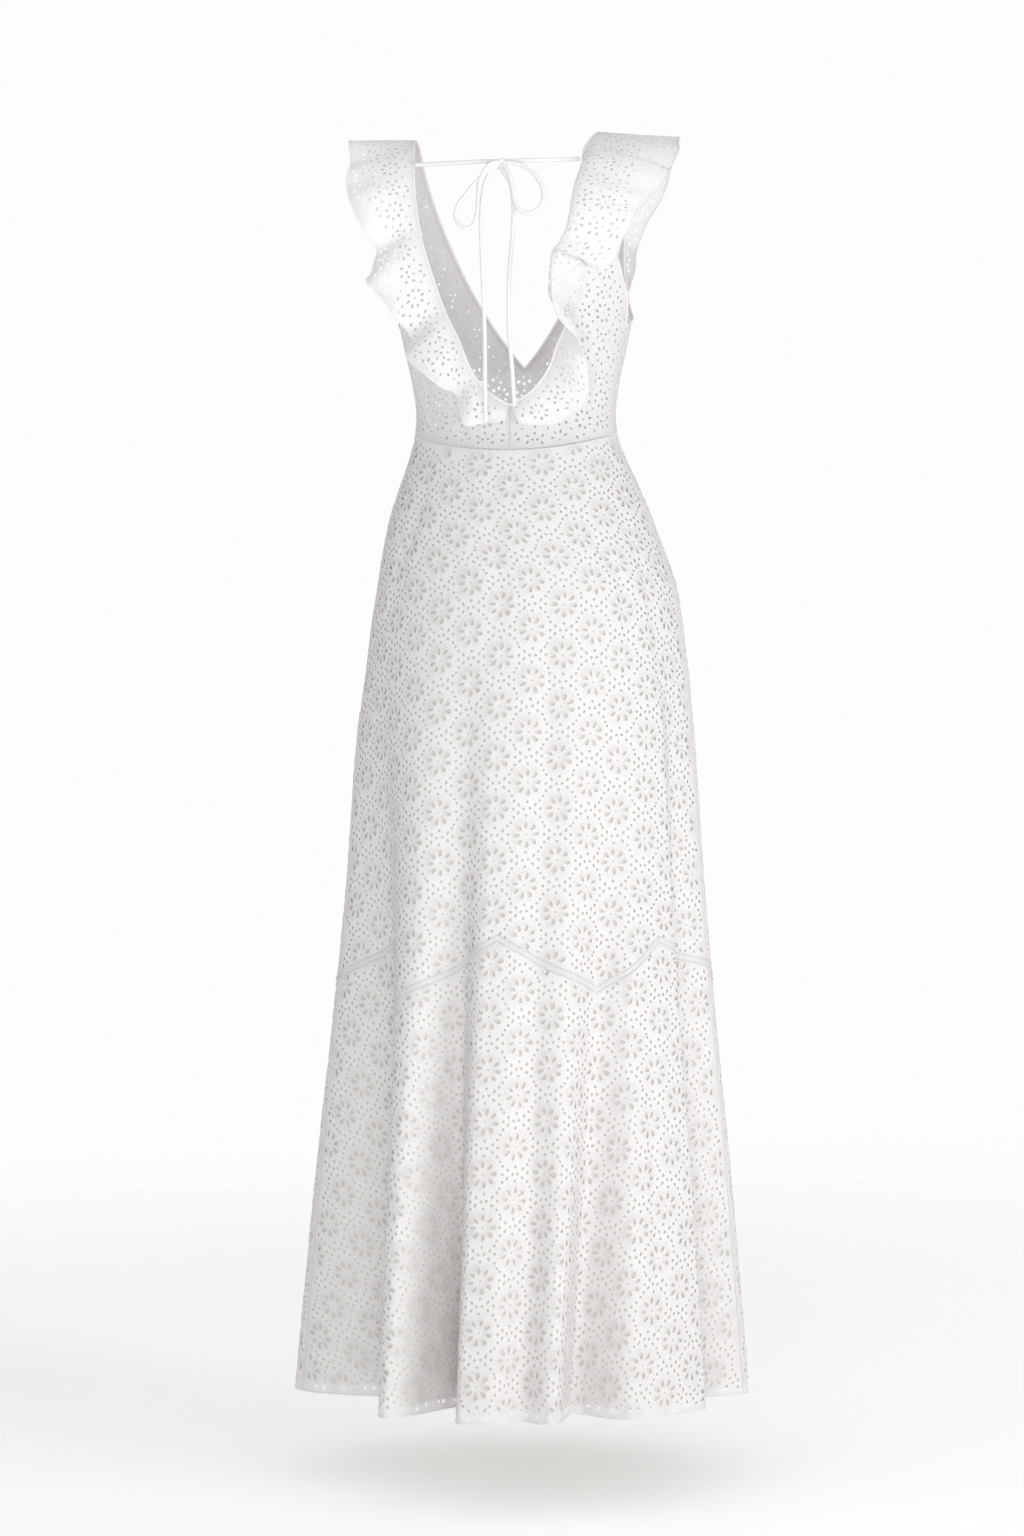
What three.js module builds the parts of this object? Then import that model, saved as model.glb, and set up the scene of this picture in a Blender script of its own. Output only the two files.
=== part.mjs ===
// Maxi dress in white eyelet cotton, in its worn form and hollow.
// Millimetres, +Z up. The back of the dress, with its deep V and bow, faces -Y.
// The origin is midway between the shoulder seams, where the shoulders carry it.
import * as THREE from 'three';

// Cloth thicknesses and clearances
const EYELET_CLOTH = 1.6;
const RUFFLE_CLOTH = 1.4;
const LINING_CLOTH = 1.2;
const SEAM_GAP = 0.3;
const WELD = 1e-4;

// Driving heights, measured down from the shoulder line
const SHOULDER_ROUND = 100;
const SLOPE_ENDS = 150;
const WAIST_SIDE = -324;
const WAIST_DIP_BACK = 21;
const WAIST_DIP_FRONT = 8;
const FOLDS_START = -470;
const DRIFT_START = -400;
const DRIFT_FULL = -500;
const HEM = -1355;
const LINING_HEM = -1332;

// Widths, slopes and angles. A strand is an angle round the body from centre back, in degrees.
const NECK_HALF = 108;
const SHOULDER_SLOPE = 1 / 3;
const SIDE_SEAM = 77;

// The body's cross-sections: half the width, the depth behind and before the axis,
// and how far the hips sway to the right
const SECTIONS = [
  { level: 0, halfWidth: 190, back: 86, front: 70, sway: 0 },
  { level: -50, halfWidth: 178, back: 86, front: 74, sway: 0 },
  { level: -100, halfWidth: 163, back: 88, front: 84, sway: 0 },
  { level: -150, halfWidth: 144, back: 93, front: 102, sway: 0 },
  { level: -190, halfWidth: 130, back: 92, front: 117, sway: 0 },
  { level: -230, halfWidth: 121, back: 88, front: 121, sway: 0 },
  { level: -267, halfWidth: 113, back: 81, front: 108, sway: 0 },
  { level: -300, halfWidth: 109, back: 76, front: 94, sway: 0 },
  { level: -324, halfWidth: 111, back: 77, front: 90, sway: 0 },
  { level: -349, halfWidth: 119, back: 84, front: 93, sway: 1.2 },
  { level: -387, halfWidth: 134, back: 99, front: 101, sway: 3 },
  { level: -425, halfWidth: 147, back: 113, front: 110, sway: 5 },
  { level: -501, halfWidth: 166, back: 133, front: 122, sway: 11 },
  { level: -577, halfWidth: 177, back: 146, front: 133, sway: 11 },
  { level: -654, halfWidth: 186, back: 157, front: 143, sway: 9 },
  { level: -807, halfWidth: 197, back: 176, front: 162, sway: 8 },
  { level: -959, halfWidth: 211, back: 195, front: 180, sway: 6 },
  { level: -1112, halfWidth: 227, back: 212, front: 196, sway: 4 },
  { level: -1264, halfWidth: 241, back: 228, front: 212, sway: 2 },
  { level: -1355, halfWidth: 249, back: 238, front: 221, sway: 1 },
];

// The skirt's folds: the strand of each trough at the hip and at the hem,
// its reach to either side in degrees, its depth at the hem, and how late it deepens
const FOLDS = [
  { hip: -61, hem: -49, before: 34, after: 18, depth: 100, growth: 1.3 },
  { hip: -16.5, hem: -20, before: 11, after: 9.5, depth: 104, growth: 1.9 },
  { hip: 10, hem: 4, before: 8, after: 7, depth: 22, growth: 1.5 },
  { hip: 35, hem: 20, before: 9, after: 12, depth: 56, growth: 1.7 },
  { hip: 62, hem: 63, before: 9, after: 16, depth: 60, growth: 1.4 },
  { hip: 93, hem: 92, before: 12, after: 10, depth: 60, growth: 1.3 },
  { hip: 114, hem: 112, before: 10, after: 10, depth: 62, growth: 1.4 },
  { hip: 140, hem: 136, before: 12, after: 15, depth: 74, growth: 1.2 },
  { hip: 170, hem: 166, before: 13, after: 10, depth: 70, growth: 1.4 },
  { hip: 200, hem: 197, before: 12, after: 14, depth: 78, growth: 1.2 },
  { hip: 229, hem: 228, before: 15, after: 11, depth: 64, growth: 1.4 },
  { hip: 255, hem: 257, before: 12, after: 12, depth: 66, growth: 1.3 },
];

// Corners of the chevron seam, round the skirt from beside the left side seam
const CHEVRON_CORNERS = [
  { strand: -84, level: -917 },
  { strand: -43, level: -868 },
  { strand: -37, level: -930 },
  { strand: -7, level: -861 },
  { strand: 20, level: -917 },
  { strand: 45, level: -866 },
  { strand: 100, level: -917 },
  { strand: 124, level: -866 },
  { strand: 150, level: -917 },
  { strand: 176, level: -866 },
  { strand: 202, level: -917 },
  { strand: 228, level: -866 },
  { strand: 276, level: -917 },
];

// How far the lining hangs inside the skirt
const LINING_INSETS = [
  { level: -324, inset: 2.2 },
  { level: -420, inset: 6 },
  { level: -1355, inset: 6 },
];
const LINING_WIDEN = 3;
const LINING_DEEPEN = 4;

// Rows of the back panel from shoulder to waist: the neckline edge, then the armhole or side edge.
// A row with no edgeHalf ends on the side seam. The pull is how far the tie draws the right strap in.
const BACK_ROWS = [
  { neckHalf: 108, neckLevel: 0, edgeHalf: 152, edgeLevel: 0, pull: 13 },
  { neckHalf: 107.4, neckLevel: -8, edgeHalf: 149, edgeLevel: -8, pull: 17 },
  { neckHalf: 106, neckLevel: -30, edgeHalf: 140, edgeLevel: -30, pull: 25 },
  { neckHalf: 103.5, neckLevel: -62, edgeHalf: 130, edgeLevel: -64, pull: 24 },
  { neckHalf: 97, neckLevel: -111, edgeHalf: 122, edgeLevel: -112, pull: 13 },
  { neckHalf: 82, neckLevel: -163, edgeHalf: 123, edgeLevel: -158, pull: 3 },
  { neckHalf: 69.5, neckLevel: -198, edgeHalf: 124.5, edgeLevel: -184 },
  { neckHalf: 54.7, neckLevel: -229, edgeLevel: -208 },
  { neckHalf: 42, neckLevel: -261, edgeLevel: -238 },
  { neckHalf: 26.5, neckLevel: -281, edgeLevel: -262 },
  { neckHalf: 10, neckLevel: -293, edgeLevel: -280 },
  { neckHalf: 0, neckLevel: -298, edgeLevel: -296 },
  { neckHalf: 0, neckLevel: -320, edgeLevel: -309 },
];

// Rows of each half of the front panel, in the same columns
const FRONT_ROWS = [
  { neckHalf: 108, neckLevel: 0, edgeHalf: 152, edgeLevel: 0, pull: 13 },
  { neckHalf: 107, neckLevel: -8, edgeHalf: 148, edgeLevel: -8, pull: 12 },
  { neckHalf: 104, neckLevel: -30, edgeHalf: 137, edgeLevel: -30, pull: 8 },
  { neckHalf: 95, neckLevel: -65, edgeHalf: 124, edgeLevel: -65, pull: 3 },
  { neckHalf: 82, neckLevel: -100, edgeHalf: 117, edgeLevel: -100 },
  { neckHalf: 67, neckLevel: -134, edgeHalf: 116, edgeLevel: -132 },
  { neckHalf: 51, neckLevel: -165, edgeHalf: 120, edgeLevel: -160 },
  { neckHalf: 34, neckLevel: -193, edgeHalf: 124.5, edgeLevel: -184 },
  { neckHalf: 17, neckLevel: -217, edgeLevel: -208 },
  { neckHalf: 0, neckLevel: -238, edgeLevel: -238 },
  { neckHalf: 0, neckLevel: -264, edgeLevel: -262 },
  { neckHalf: 0, neckLevel: -283, edgeLevel: -280 },
  { neckHalf: 0, neckLevel: -300, edgeLevel: -296 },
  { neckHalf: 0, neckLevel: -315, edgeLevel: -309 },
];
const PANEL_COLUMNS = 6;

// The ruffles' free edges at each neckline level: away from the neckline along the panel,
// out from the panel, and down. A lean rolls the ruffle's middle in over the neckline.
const RUFFLE_LEFT = [
  { level: 0, out: 69, stand: 17, drop: -9 },
  { level: -22, out: 63, stand: 20, drop: 8 },
  { level: -42, out: 67, stand: 24, drop: 8 },
  { level: -56, out: 64, stand: 25, drop: 10 },
  { level: -72, out: 57, stand: 24, drop: 12 },
  { level: -90, out: 47, stand: 18, drop: 18 },
  { level: -107, out: 47, stand: 13, drop: 14 },
  { level: -120, out: 52, stand: 20, drop: 11 },
  { level: -134, out: 59, stand: 26, drop: 7 },
  { level: -150, out: 55, stand: 25, drop: 1 },
  { level: -170, out: 43, stand: 21, drop: 9 },
  { level: -194, out: 41, stand: 9, drop: 10 },
  { level: -213, out: 48, stand: 22, drop: 7 },
  { level: -231, out: 37, stand: 24, drop: 13 },
  { level: -246, out: 24, stand: 20, drop: 18 },
  { level: -262, out: 16, stand: 9, drop: 14 },
  { level: -277, out: 18, stand: 20, drop: 25 },
  { level: -289, out: 16, stand: 14, drop: 14 },
  { level: -298, out: 13, stand: 8, drop: 0 },
];
const RUFFLE_RIGHT = [
  { level: 0, out: 83, stand: 20, drop: 0, lean: 0 },
  { level: -12, out: 94, stand: 24, drop: 4, lean: 2 },
  { level: -41, out: 78, stand: 34, drop: 34, lean: 30 },
  { level: -60, out: 62, stand: 34, drop: 35, lean: 34 },
  { level: -83, out: 44, stand: 30, drop: 32, lean: 40 },
  { level: -97, out: 31, stand: 28, drop: 36, lean: 43 },
  { level: -111, out: 21, stand: 28, drop: 40, lean: 46 },
  { level: -120, out: 7, stand: 30, drop: 36, lean: 43 },
  { level: -136, out: -16, stand: 33, drop: 18, lean: 38 },
  { level: -160, out: -49, stand: 30, drop: 18, lean: 18 },
  { level: -172, out: -50, stand: 30, drop: 25, lean: 15 },
  { level: -190, out: -37, stand: 32, drop: 28, lean: 12 },
  { level: -200, out: -20, stand: 32, drop: 26, lean: 4 },
  { level: -215, out: 5, stand: 28, drop: 17, lean: 0 },
  { level: -233, out: 26, stand: 24, drop: 13, lean: 0 },
  { level: -250, out: 35, stand: 20, drop: 15, lean: 0 },
  { level: -267, out: 47, stand: 18, drop: 3, lean: 0 },
  { level: -284, out: 57, stand: 12, drop: -15, lean: 0 },
  { level: -291, out: 45, stand: 10, drop: -11, lean: 0 },
  { level: -298, out: 22, stand: 8, drop: -3, lean: 0 },
];
const RUFFLE_FRONT = [
  { level: -40, out: 64, stand: 26, drop: 4 },
  { level: -80, out: 44, stand: 14, drop: 12 },
  { level: -115, out: 48, stand: 20, drop: 14 },
  { level: -150, out: 38, stand: 12, drop: 14 },
  { level: -185, out: 46, stand: 22, drop: 8 },
  { level: -215, out: 30, stand: 12, drop: 4 },
  { level: -238, out: 22, stand: 8, drop: 0 },
];
const RUFFLE_STATIONS = 46;
const RUFFLE_COLUMNS = 4;
const RUFFLE_BULGE = 13;
const RUFFLE_BULGE_FULL = 60;

// Binding of the neckline edge
const BINDING_WIDTH = 3;
const BINDING_PROUD = 0.7;
const BINDING_GAP = 0.5;
const BINDING_SHORT = 2;

// Eyelets cut through as slits that stand for the largest petals
const EYELET_HALF_WIDTH = 2.7;
const EYELET_HALF_HEIGHT = 4.4;
const EYELET_CELL = 9.5;

// Skirt grid
const SKIRT_MIN_STEP = 3;
const SKIRT_MAX_STEP = 7;
const SKIRT_UPPER_ROWS = 8;
const SKIRT_LOWER_ROWS = 7;
const LINING_ROWS = [-425, -530, -860];

// Bow of round cord at the top of the V, routes as points in millimetres
const CORD_RADIUS = 2;
const CORD_SIDES = 8;
const CORD_STEP = 12;
const KNOT = { centre: [-8, -75, -39], half: [8.5, 6.5, 7.5], slices: 10, rings: 7 };
const CORDS = {
  tie_left: [[-101.5, -57, -35], [-80, -63, -35.5], [-50, -70, -36], [-17.5, -74, -36]],
  tie_right: [[75.6, -60, -33], [60, -66, -34.5], [35, -71.5, -35.5], [1.5, -74, -36]],
  bow_loop_left: [
    [-18, -80, -44], [-28, -84, -54], [-41, -89, -69], [-53, -93, -87], [-55, -95, -98], [-50, -97, -107],
    [-42, -98, -111], [-35, -98, -106], [-32, -97, -96], [-31, -91, -77], [-29, -86, -57], [-19, -84, -41],
  ],
  bow_loop_right: [
    [2, -81, -39], [14, -83, -42], [28, -86, -52], [37, -89, -66], [39, -92, -78], [35, -95, -90],
    [25, -97, -96], [14, -96, -93], [8, -93, -82], [5, -88, -66], [1, -84, -49],
  ],
  tail_left: [
    [-19, -76, -48], [-25, -79, -62], [-28, -85, -85], [-28, -92, -115], [-26.5, -97, -150], [-25, -99, -190],
    [-24, -100, -230], [-24, -102, -271], [-23.5, -105, -300], [-23, -107, -318],
  ],
  tail_right: [
    [-5, -76, -48.5], [1, -78, -57], [5, -82, -72], [6.5, -87, -95], [5.5, -93, -122], [3, -97, -150],
    [1.6, -98, -180], [1.6, -98, -217], [4.5, -97, -260], [7, -99, -301],
  ],
};

// Colours of the finishes
const EYELET_WHITE = { color: 0xf4f3f0, roughness: 0.85, metalness: 0 };
const LINING_WHITE = { color: 0xe9e6e0, roughness: 0.9, metalness: 0 };
const CORD_WHITE = { color: 0xf6f5f2, roughness: 0.7, metalness: 0 };

const radians = THREE.MathUtils.degToRad;
const degrees = THREE.MathUtils.radToDeg;
const { lerp, clamp, smoothstep, euclideanModulo } = THREE.MathUtils;

// A smooth curve through one column of a table, without overshoot between its rows
function track(rows, key, column) {
  const sorted = [...rows].sort((a, b) => a[key] - b[key]);
  const at = sorted.map((row) => row[key]);
  const value = sorted.map((row) => row[column]);
  const last = at.length - 1;
  const slopes = at.slice(1).map((next, i) => (value[i + 1] - value[i]) / (next - at[i]));
  const tangents = at.map((_, i) => {
    if (i === 0 || i === last) return slopes[Math.min(i, last - 1)];
    const [before, after] = [slopes[i - 1], slopes[i]];
    return before * after <= 0 ? 0 : (2 * before * after) / (before + after);
  });
  return (position) => {
    const x = clamp(position, at[0], at[last]);
    let i = 0;
    while (i < last - 1 && x > at[i + 1]) i += 1;
    const span = at[i + 1] - at[i];
    const t = (x - at[i]) / span;
    const rise = t * t * (3 - 2 * t);
    const lead = t * (1 - t) * (1 - t) * span;
    const trail = t * t * (t - 1) * span;
    return value[i] * (1 - rise) + value[i + 1] * rise + tangents[i] * lead + tangents[i + 1] * trail;
  };
}

const halfWidthAt = track(SECTIONS, 'level', 'halfWidth');
const backAt = track(SECTIONS, 'level', 'back');
const frontAt = track(SECTIONS, 'level', 'front');
const swayAt = track(SECTIONS, 'level', 'sway');
const liningInsetAt = track(LINING_INSETS, 'level', 'inset');

const EYELET_LAYER = { inset: () => 0, widen: 0, deepen: 0 };
const LINING_LAYER = { inset: liningInsetAt, widen: LINING_WIDEN, deepen: LINING_DEEPEN };

// Angle from one strand to another, the short way round
function turn(from, to) {
  return euclideanModulo(to - from + 180, 360) - 180;
}

// Turn from the first fold to a strand, counted once round the body
function hemTurn(strand) {
  return euclideanModulo(strand - FOLDS[0].hem, 360);
}

// How much further round the body a strand lies at the hip than at the hem
function drift(strand) {
  const along = hemTurn(strand);
  const next = FOLDS.findIndex((fold) => hemTurn(fold.hem) > along);
  const upper = FOLDS[next < 0 ? 0 : next];
  const lower = FOLDS.at(next < 0 ? -1 : next - 1);
  const span = euclideanModulo(upper.hem - lower.hem, 360);
  const share = smoothstep(along - hemTurn(lower.hem), 0, span);
  return lerp(lower.hip - lower.hem, upper.hip - upper.hem, share);
}

// Depth of all troughs at a point of the skirt
function troughs(strand, level, layer) {
  const fallen = clamp((FOLDS_START - level) / (FOLDS_START - HEM), 0, 1);
  let depth = 0;
  for (const fold of FOLDS) {
    const away = turn(fold.hem, strand);
    const reach = (away < 0 ? fold.before : fold.after) + layer.widen;
    if (Math.abs(away) < reach) {
      const bell = Math.cos((Math.PI / 2) * (away / reach)) ** 2;
      depth += (fold.depth + layer.deepen) * fallen ** fold.growth * bell;
    }
  }
  return depth;
}

// A point of the garment's outer surface
function onGarment(strand, level, layer = EYELET_LAYER) {
  const lean = smoothstep(-level, -DRIFT_START, -DRIFT_FULL) * clamp((level - HEM) / (DRIFT_FULL - HEM), 0, 1);
  const angle = radians(strand + drift(strand) * lean);
  const inset = layer.inset(level);
  const across = Math.cos(angle);
  const rounding = Math.sqrt(1 - (1 - clamp(-level / SHOULDER_ROUND, 0, 1)) ** 2);
  const depth = (across > 0 ? backAt(level) : frontAt(level)) - inset;
  const seam = (SEAM_GAP / 2) * Math.sign(across) * clamp(1 + level / SHOULDER_ROUND, 0, 1);
  const x = (halfWidthAt(level) - inset) * Math.sin(angle);
  const y = -depth * across * rounding - seam;
  const keep = 1 - troughs(strand, level, layer) / Math.hypot(x, y);
  const slope = SHOULDER_SLOPE * clamp(1 + level / SLOPE_ENDS, 0, 1) ** 2;
  return new THREE.Vector3(x * keep + swayAt(level), y * keep, level - slope * (Math.abs(x) - NECK_HALF));
}

// Steps at which the slope of the surface is read: degrees round, and a share of the level down
const SLOPE_STEP = { round: 0.15, share: 1 / 8, least: 1e-6, most: 0.4 };

// The outward direction at a point of the garment, straight up along the shoulder seam
function outward(strand, level, layer = EYELET_LAYER) {
  const down = clamp(-level * SLOPE_STEP.share, SLOPE_STEP.least, SLOPE_STEP.most);
  const ahead = onGarment(strand + SLOPE_STEP.round, level, layer);
  const around = ahead.sub(onGarment(strand - SLOPE_STEP.round, level, layer));
  const top = Math.min(level + down, 0);
  const up = onGarment(strand, top, layer).sub(onGarment(strand, top - 2 * down, layer));
  return around.cross(up).normalize();
}

// Level of the waist seam at a strand
function waist(strand) {
  const across = Math.cos(radians(strand));
  return WAIST_SIDE - (across > 0 ? WAIST_DIP_BACK : WAIST_DIP_FRONT) * across * across;
}

// Level of the chevron seam at a strand, straight from corner to corner
function chevron(strand) {
  const place = CHEVRON_CORNERS[0].strand + euclideanModulo(strand - CHEVRON_CORNERS[0].strand, 360);
  const next = CHEVRON_CORNERS.findIndex((corner) => corner.strand > place);
  const [from, to] = [CHEVRON_CORNERS[next - 1], CHEVRON_CORNERS[next]];
  return lerp(from.level, to.level, (place - from.strand) / (to.strand - from.strand));
}

// A sheet of points with its outer face, its inner face and its triangles
class Sheet {
  constructor(thickness) {
    this.thickness = thickness;
    this.outer = [];
    this.inner = [];
    this.triangles = [];
  }

  add({ point, normal }) {
    this.outer.push(point);
    this.inner.push(point.clone().addScaledVector(normal, -this.thickness));
    return this.outer.length - 1;
  }

  quad(a, b, c, d) {
    this.triangles.push([a, b, c], [a, c, d]);
  }

  // A grid of cells; at(u, v) gives the point at column u and row v, and a cell that holed() picks gets a slit
  grid(columns, rows, at, holed = () => null) {
    const ids = [];
    for (let v = 0; v <= rows; v += 1) {
      ids.push([]);
      for (let u = 0; u <= columns; u += 1) ids[v].push(this.add(at(u, v)));
    }
    for (let v = 0; v < rows; v += 1) {
      for (let u = 0; u < columns; u += 1) {
        const corners = [ids[v + 1][u], ids[v + 1][u + 1], ids[v][u + 1], ids[v][u]];
        const slit = holed(u, v);
        if (slit) this.slitCell(corners, slit);
        else this.quad(...corners);
      }
    }
    return ids;
  }

  // A cell with a pointed slit; the slit's points lie below, right, above and left of its middle
  slitCell(corners, slit) {
    const points = slit.map((place) => this.add(place));
    corners.forEach((corner, i) => {
      const next = corners[(i + 1) % 4];
      this.triangles.push([corner, next, points[i]], [next, points[(i + 1) % 4], points[i]]);
    });
  }

  // Joins points that lie in the same place
  weld() {
    const seen = new Map();
    const kept = this.outer.map((point, i) => {
      const place = point.toArray().map((value) => Math.round(value / WELD)).join();
      if (!seen.has(place)) seen.set(place, i);
      return seen.get(place);
    });
    this.triangles = this.triangles.map((corners) => corners.map((corner) => kept[corner]));
  }

  // Closes the sheet into a wall with a rim along every free edge, split the same way on both sides of a seam
  geometry() {
    const index = [];
    const free = new Map();
    const back = this.outer.length;
    for (const [a, b, c] of this.triangles) {
      index.push(a, b, c, back + c, back + b, back + a);
      for (const [from, to] of [[a, b], [b, c], [c, a]]) {
        if (!free.delete(`${to},${from}`)) free.set(`${from},${to}`, [from, to]);
      }
    }
    for (const [from, to] of free.values()) {
      if (from < to) index.push(to, from, back + from, to, back + from, back + to);
      else index.push(to, from, back + to, from, back + from, back + to);
    }
    const positions = [...this.outer, ...this.inner].flatMap((point) => point.toArray());
    const shape = new THREE.BufferGeometry();
    shape.setAttribute('position', new THREE.Float32BufferAttribute(positions, 3));
    shape.setIndex(index);
    return shape;
  }
}

function placeOn(strand, level, layer) {
  return { point: onGarment(strand, level, layer), normal: outward(strand, level, layer) };
}

// The corners of a slit round the middle of a grid cell, or null where the cell is too narrow
function slitIn(at, u, v) {
  const width = at(u, v + 0.5).point.distanceTo(at(u + 1, v + 0.5).point);
  const height = at(u + 0.5, v).point.distanceTo(at(u + 0.5, v + 1).point);
  if (width < EYELET_CELL || height < EYELET_CELL) return null;
  const across = EYELET_HALF_WIDTH / width;
  const along = EYELET_HALF_HEIGHT / height;
  const ends = [[0, along], [across, 0], [0, -along], [-across, 0]];
  return ends.map(([side, down]) => at(u + 0.5 + side, v + 0.5 + down));
}

const dress = new THREE.Group();

function addNode(name, geometry, finish) {
  const mesh = new THREE.Mesh(geometry, new THREE.MeshStandardMaterial(finish));
  mesh.name = name;
  dress.add(mesh);
}

// Strand of a point at half a width from the middle of the back
function strandAt(half, level) {
  return degrees(Math.asin(half / halfWidthAt(level)));
}

// Bodice panels: side is 1 on the right and -1 on the left, turned is true on the front
function panelHalf(sheet, rows, side, turned, split) {
  const bottom = { neckHalf: 0, neckLevel: waist(turned ? 180 : 0) + SEAM_GAP / 2 };
  bottom.edgeLevel = waist(SIDE_SEAM) + SEAM_GAP / 2;
  const table = [...rows, bottom];
  const sideStrand = SIDE_SEAM - degrees(SEAM_GAP / 2 / halfWidthAt(WAIST_SIDE)) * (turned ? -1 : 1);
  const ends = table.map((row) => {
    const pull = side > 0 ? row.pull ?? 0 : 0;
    const neck = strandAt(Math.max(row.neckHalf - pull, split ? SEAM_GAP / 2 : 0), row.neckLevel);
    const edge = row.edgeHalf ? strandAt(row.edgeHalf - pull, row.edgeLevel) : sideStrand;
    const flip = (strand) => (turned ? 180 - strand : strand);
    return { neck: flip(neck), edge: turned && !row.edgeHalf ? edge : flip(edge), row };
  });
  const last = ends.length - 1;
  const at = (u, v) => {
    const above = ends[Math.min(Math.floor(v), last)];
    const below = ends[Math.min(Math.floor(v) + 1, last)];
    const down = v - Math.floor(v);
    const across = (side * (turned ? -1 : 1) > 0 ? u : PANEL_COLUMNS - u) / PANEL_COLUMNS;
    const strand = lerp(lerp(above.neck, above.edge, across), lerp(below.neck, below.edge, across), down);
    const upper = lerp(above.row.neckLevel, above.row.edgeLevel, across);
    const lower = lerp(below.row.neckLevel, below.row.edgeLevel, across);
    const waistline = waist(strand) + SEAM_GAP / 2;
    const level = v >= last ? waistline : lerp(upper, lower, down);
    return placeOn(side * strand, level, EYELET_LAYER);
  };
  const holed = (u, v) => ((u + 2 * v) % 4 === 0 ? slitIn(at, u, v) : null);
  sheet.grid(PANEL_COLUMNS, last, at, holed);
}

function addBodice() {
  for (const [name, side] of [['left', -1], ['right', 1]]) {
    const sheet = new Sheet(EYELET_CLOTH);
    panelHalf(sheet, BACK_ROWS, side, false, true);
    addNode(`bodice_back_${name}`, sheet.geometry(), EYELET_WHITE);
  }
  const front = new Sheet(EYELET_CLOTH);
  panelHalf(front, FRONT_ROWS, -1, true, false);
  panelHalf(front, FRONT_ROWS, 1, true, false);
  front.weld();
  addNode('bodice_front', front.geometry(), EYELET_WHITE);
}

// Strands of the skirt's grid between two side seams: chevron corners, fold flanks, then even steps between
const FOLD_MARKS = FOLDS.flatMap(({ hem, before, after }) => (
  [hem, hem - before, hem - before / 2, hem + after / 2, hem + after]
));
function skirtColumns(from, to) {
  const marks = [from, to];
  for (const strand of [...CHEVRON_CORNERS.map((corner) => corner.strand), ...FOLD_MARKS]) {
    const mark = from + euclideanModulo(strand - from, 360);
    if (mark < to && marks.every((other) => Math.abs(other - mark) >= SKIRT_MIN_STEP)) marks.push(mark);
  }
  marks.sort((a, b) => a - b);
  const columns = [from];
  for (let i = 1; i < marks.length; i += 1) {
    const steps = Math.ceil((marks[i] - marks[i - 1]) / SKIRT_MAX_STEP);
    for (let k = 1; k <= steps; k += 1) columns.push(lerp(marks[i - 1], marks[i], k / steps));
  }
  return columns;
}

// A skirt piece whose rows run from one level to the next at every strand, less half the seam gap at each end
function skirtPiece(columns, levels, layer, thickness, holes) {
  const sheet = new Sheet(thickness);
  const at = (u, v) => {
    const column = Math.min(Math.floor(u), columns.length - 2);
    const strand = lerp(columns[column], columns[column + 1], u - column);
    const rows = levels(strand);
    const row = Math.min(Math.floor(v), rows.length - 2);
    const place = placeOn(strand, lerp(rows[row], rows[row + 1], v - row), layer);
    place.point.z += SEAM_GAP * (v / (rows.length - 1) - 0.5);
    return place;
  };
  const holed = (u, v) => (holes(u, v) ? slitIn(at, u, v) : null);
  sheet.grid(columns.length - 1, levels(columns[0]).length - 1, at, holed);
  return sheet.geometry();
}

function evenLevels(top, bottom, rows) {
  return Array.from({ length: rows + 1 }, (_, i) => lerp(top, bottom, i / rows));
}

function addSkirt() {
  const seam = degrees(SEAM_GAP / 2 / halfWidthAt(WAIST_SIDE));
  const faces = {
    back: [-SIDE_SEAM + seam, SIDE_SEAM - seam],
    front: [SIDE_SEAM + seam, 360 - SIDE_SEAM - seam],
  };
  const upper = (strand) => evenLevels(waist(strand), chevron(strand), SKIRT_UPPER_ROWS);
  const lower = (strand) => evenLevels(chevron(strand), HEM, SKIRT_LOWER_ROWS);
  const lining = (strand) => [waist(strand) - LINING_CLOTH, ...LINING_ROWS, LINING_HEM];
  const scattered = (u, v) => (u + 2 * v) % 5 === 0;
  for (const [face, [from, to]] of Object.entries(faces)) {
    const columns = skirtColumns(from, to);
    const upperPiece = skirtPiece(columns, upper, EYELET_LAYER, EYELET_CLOTH, scattered);
    const lowerPiece = skirtPiece(columns, lower, EYELET_LAYER, EYELET_CLOTH, scattered);
    const liningPiece = skirtPiece(columns, lining, LINING_LAYER, LINING_CLOTH, () => false);
    addNode(`skirt_upper_${face}`, upperPiece, EYELET_WHITE);
    addNode(`skirt_lower_${face}`, lowerPiece, EYELET_WHITE);
    addNode(`skirt_lining_${face}`, liningPiece, LINING_WHITE);
  }
}

// The neckline, followed by its way: the level behind the shoulder, and minus the level before it
function neckTracks(rows) {
  const pulled = rows.map((row) => ({ ...row, rightHalf: row.neckHalf - (row.pull ?? 0) }));
  return { left: track(pulled, 'neckLevel', 'neckHalf'), right: track(pulled, 'neckLevel', 'rightHalf') };
}
const backNeck = neckTracks(BACK_ROWS);
const frontNeck = neckTracks(FRONT_ROWS);
const NECK_START = Math.max(...BACK_ROWS.filter((row) => row.neckHalf === 0).map((row) => row.neckLevel));
const NECK_END = -Math.max(...FRONT_ROWS.filter((row) => row.neckHalf === 0).map((row) => row.neckLevel));

function neckPlace(way, side) {
  const level = -Math.abs(way);
  const neck = way < 0 ? backNeck : frontNeck;
  const half = Math.max((side > 0 ? neck.right : neck.left)(level), SEAM_GAP / 2);
  const strand = strandAt(half, level);
  return placeOn(side * (way < 0 ? strand : 180 - strand), level);
}

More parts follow.
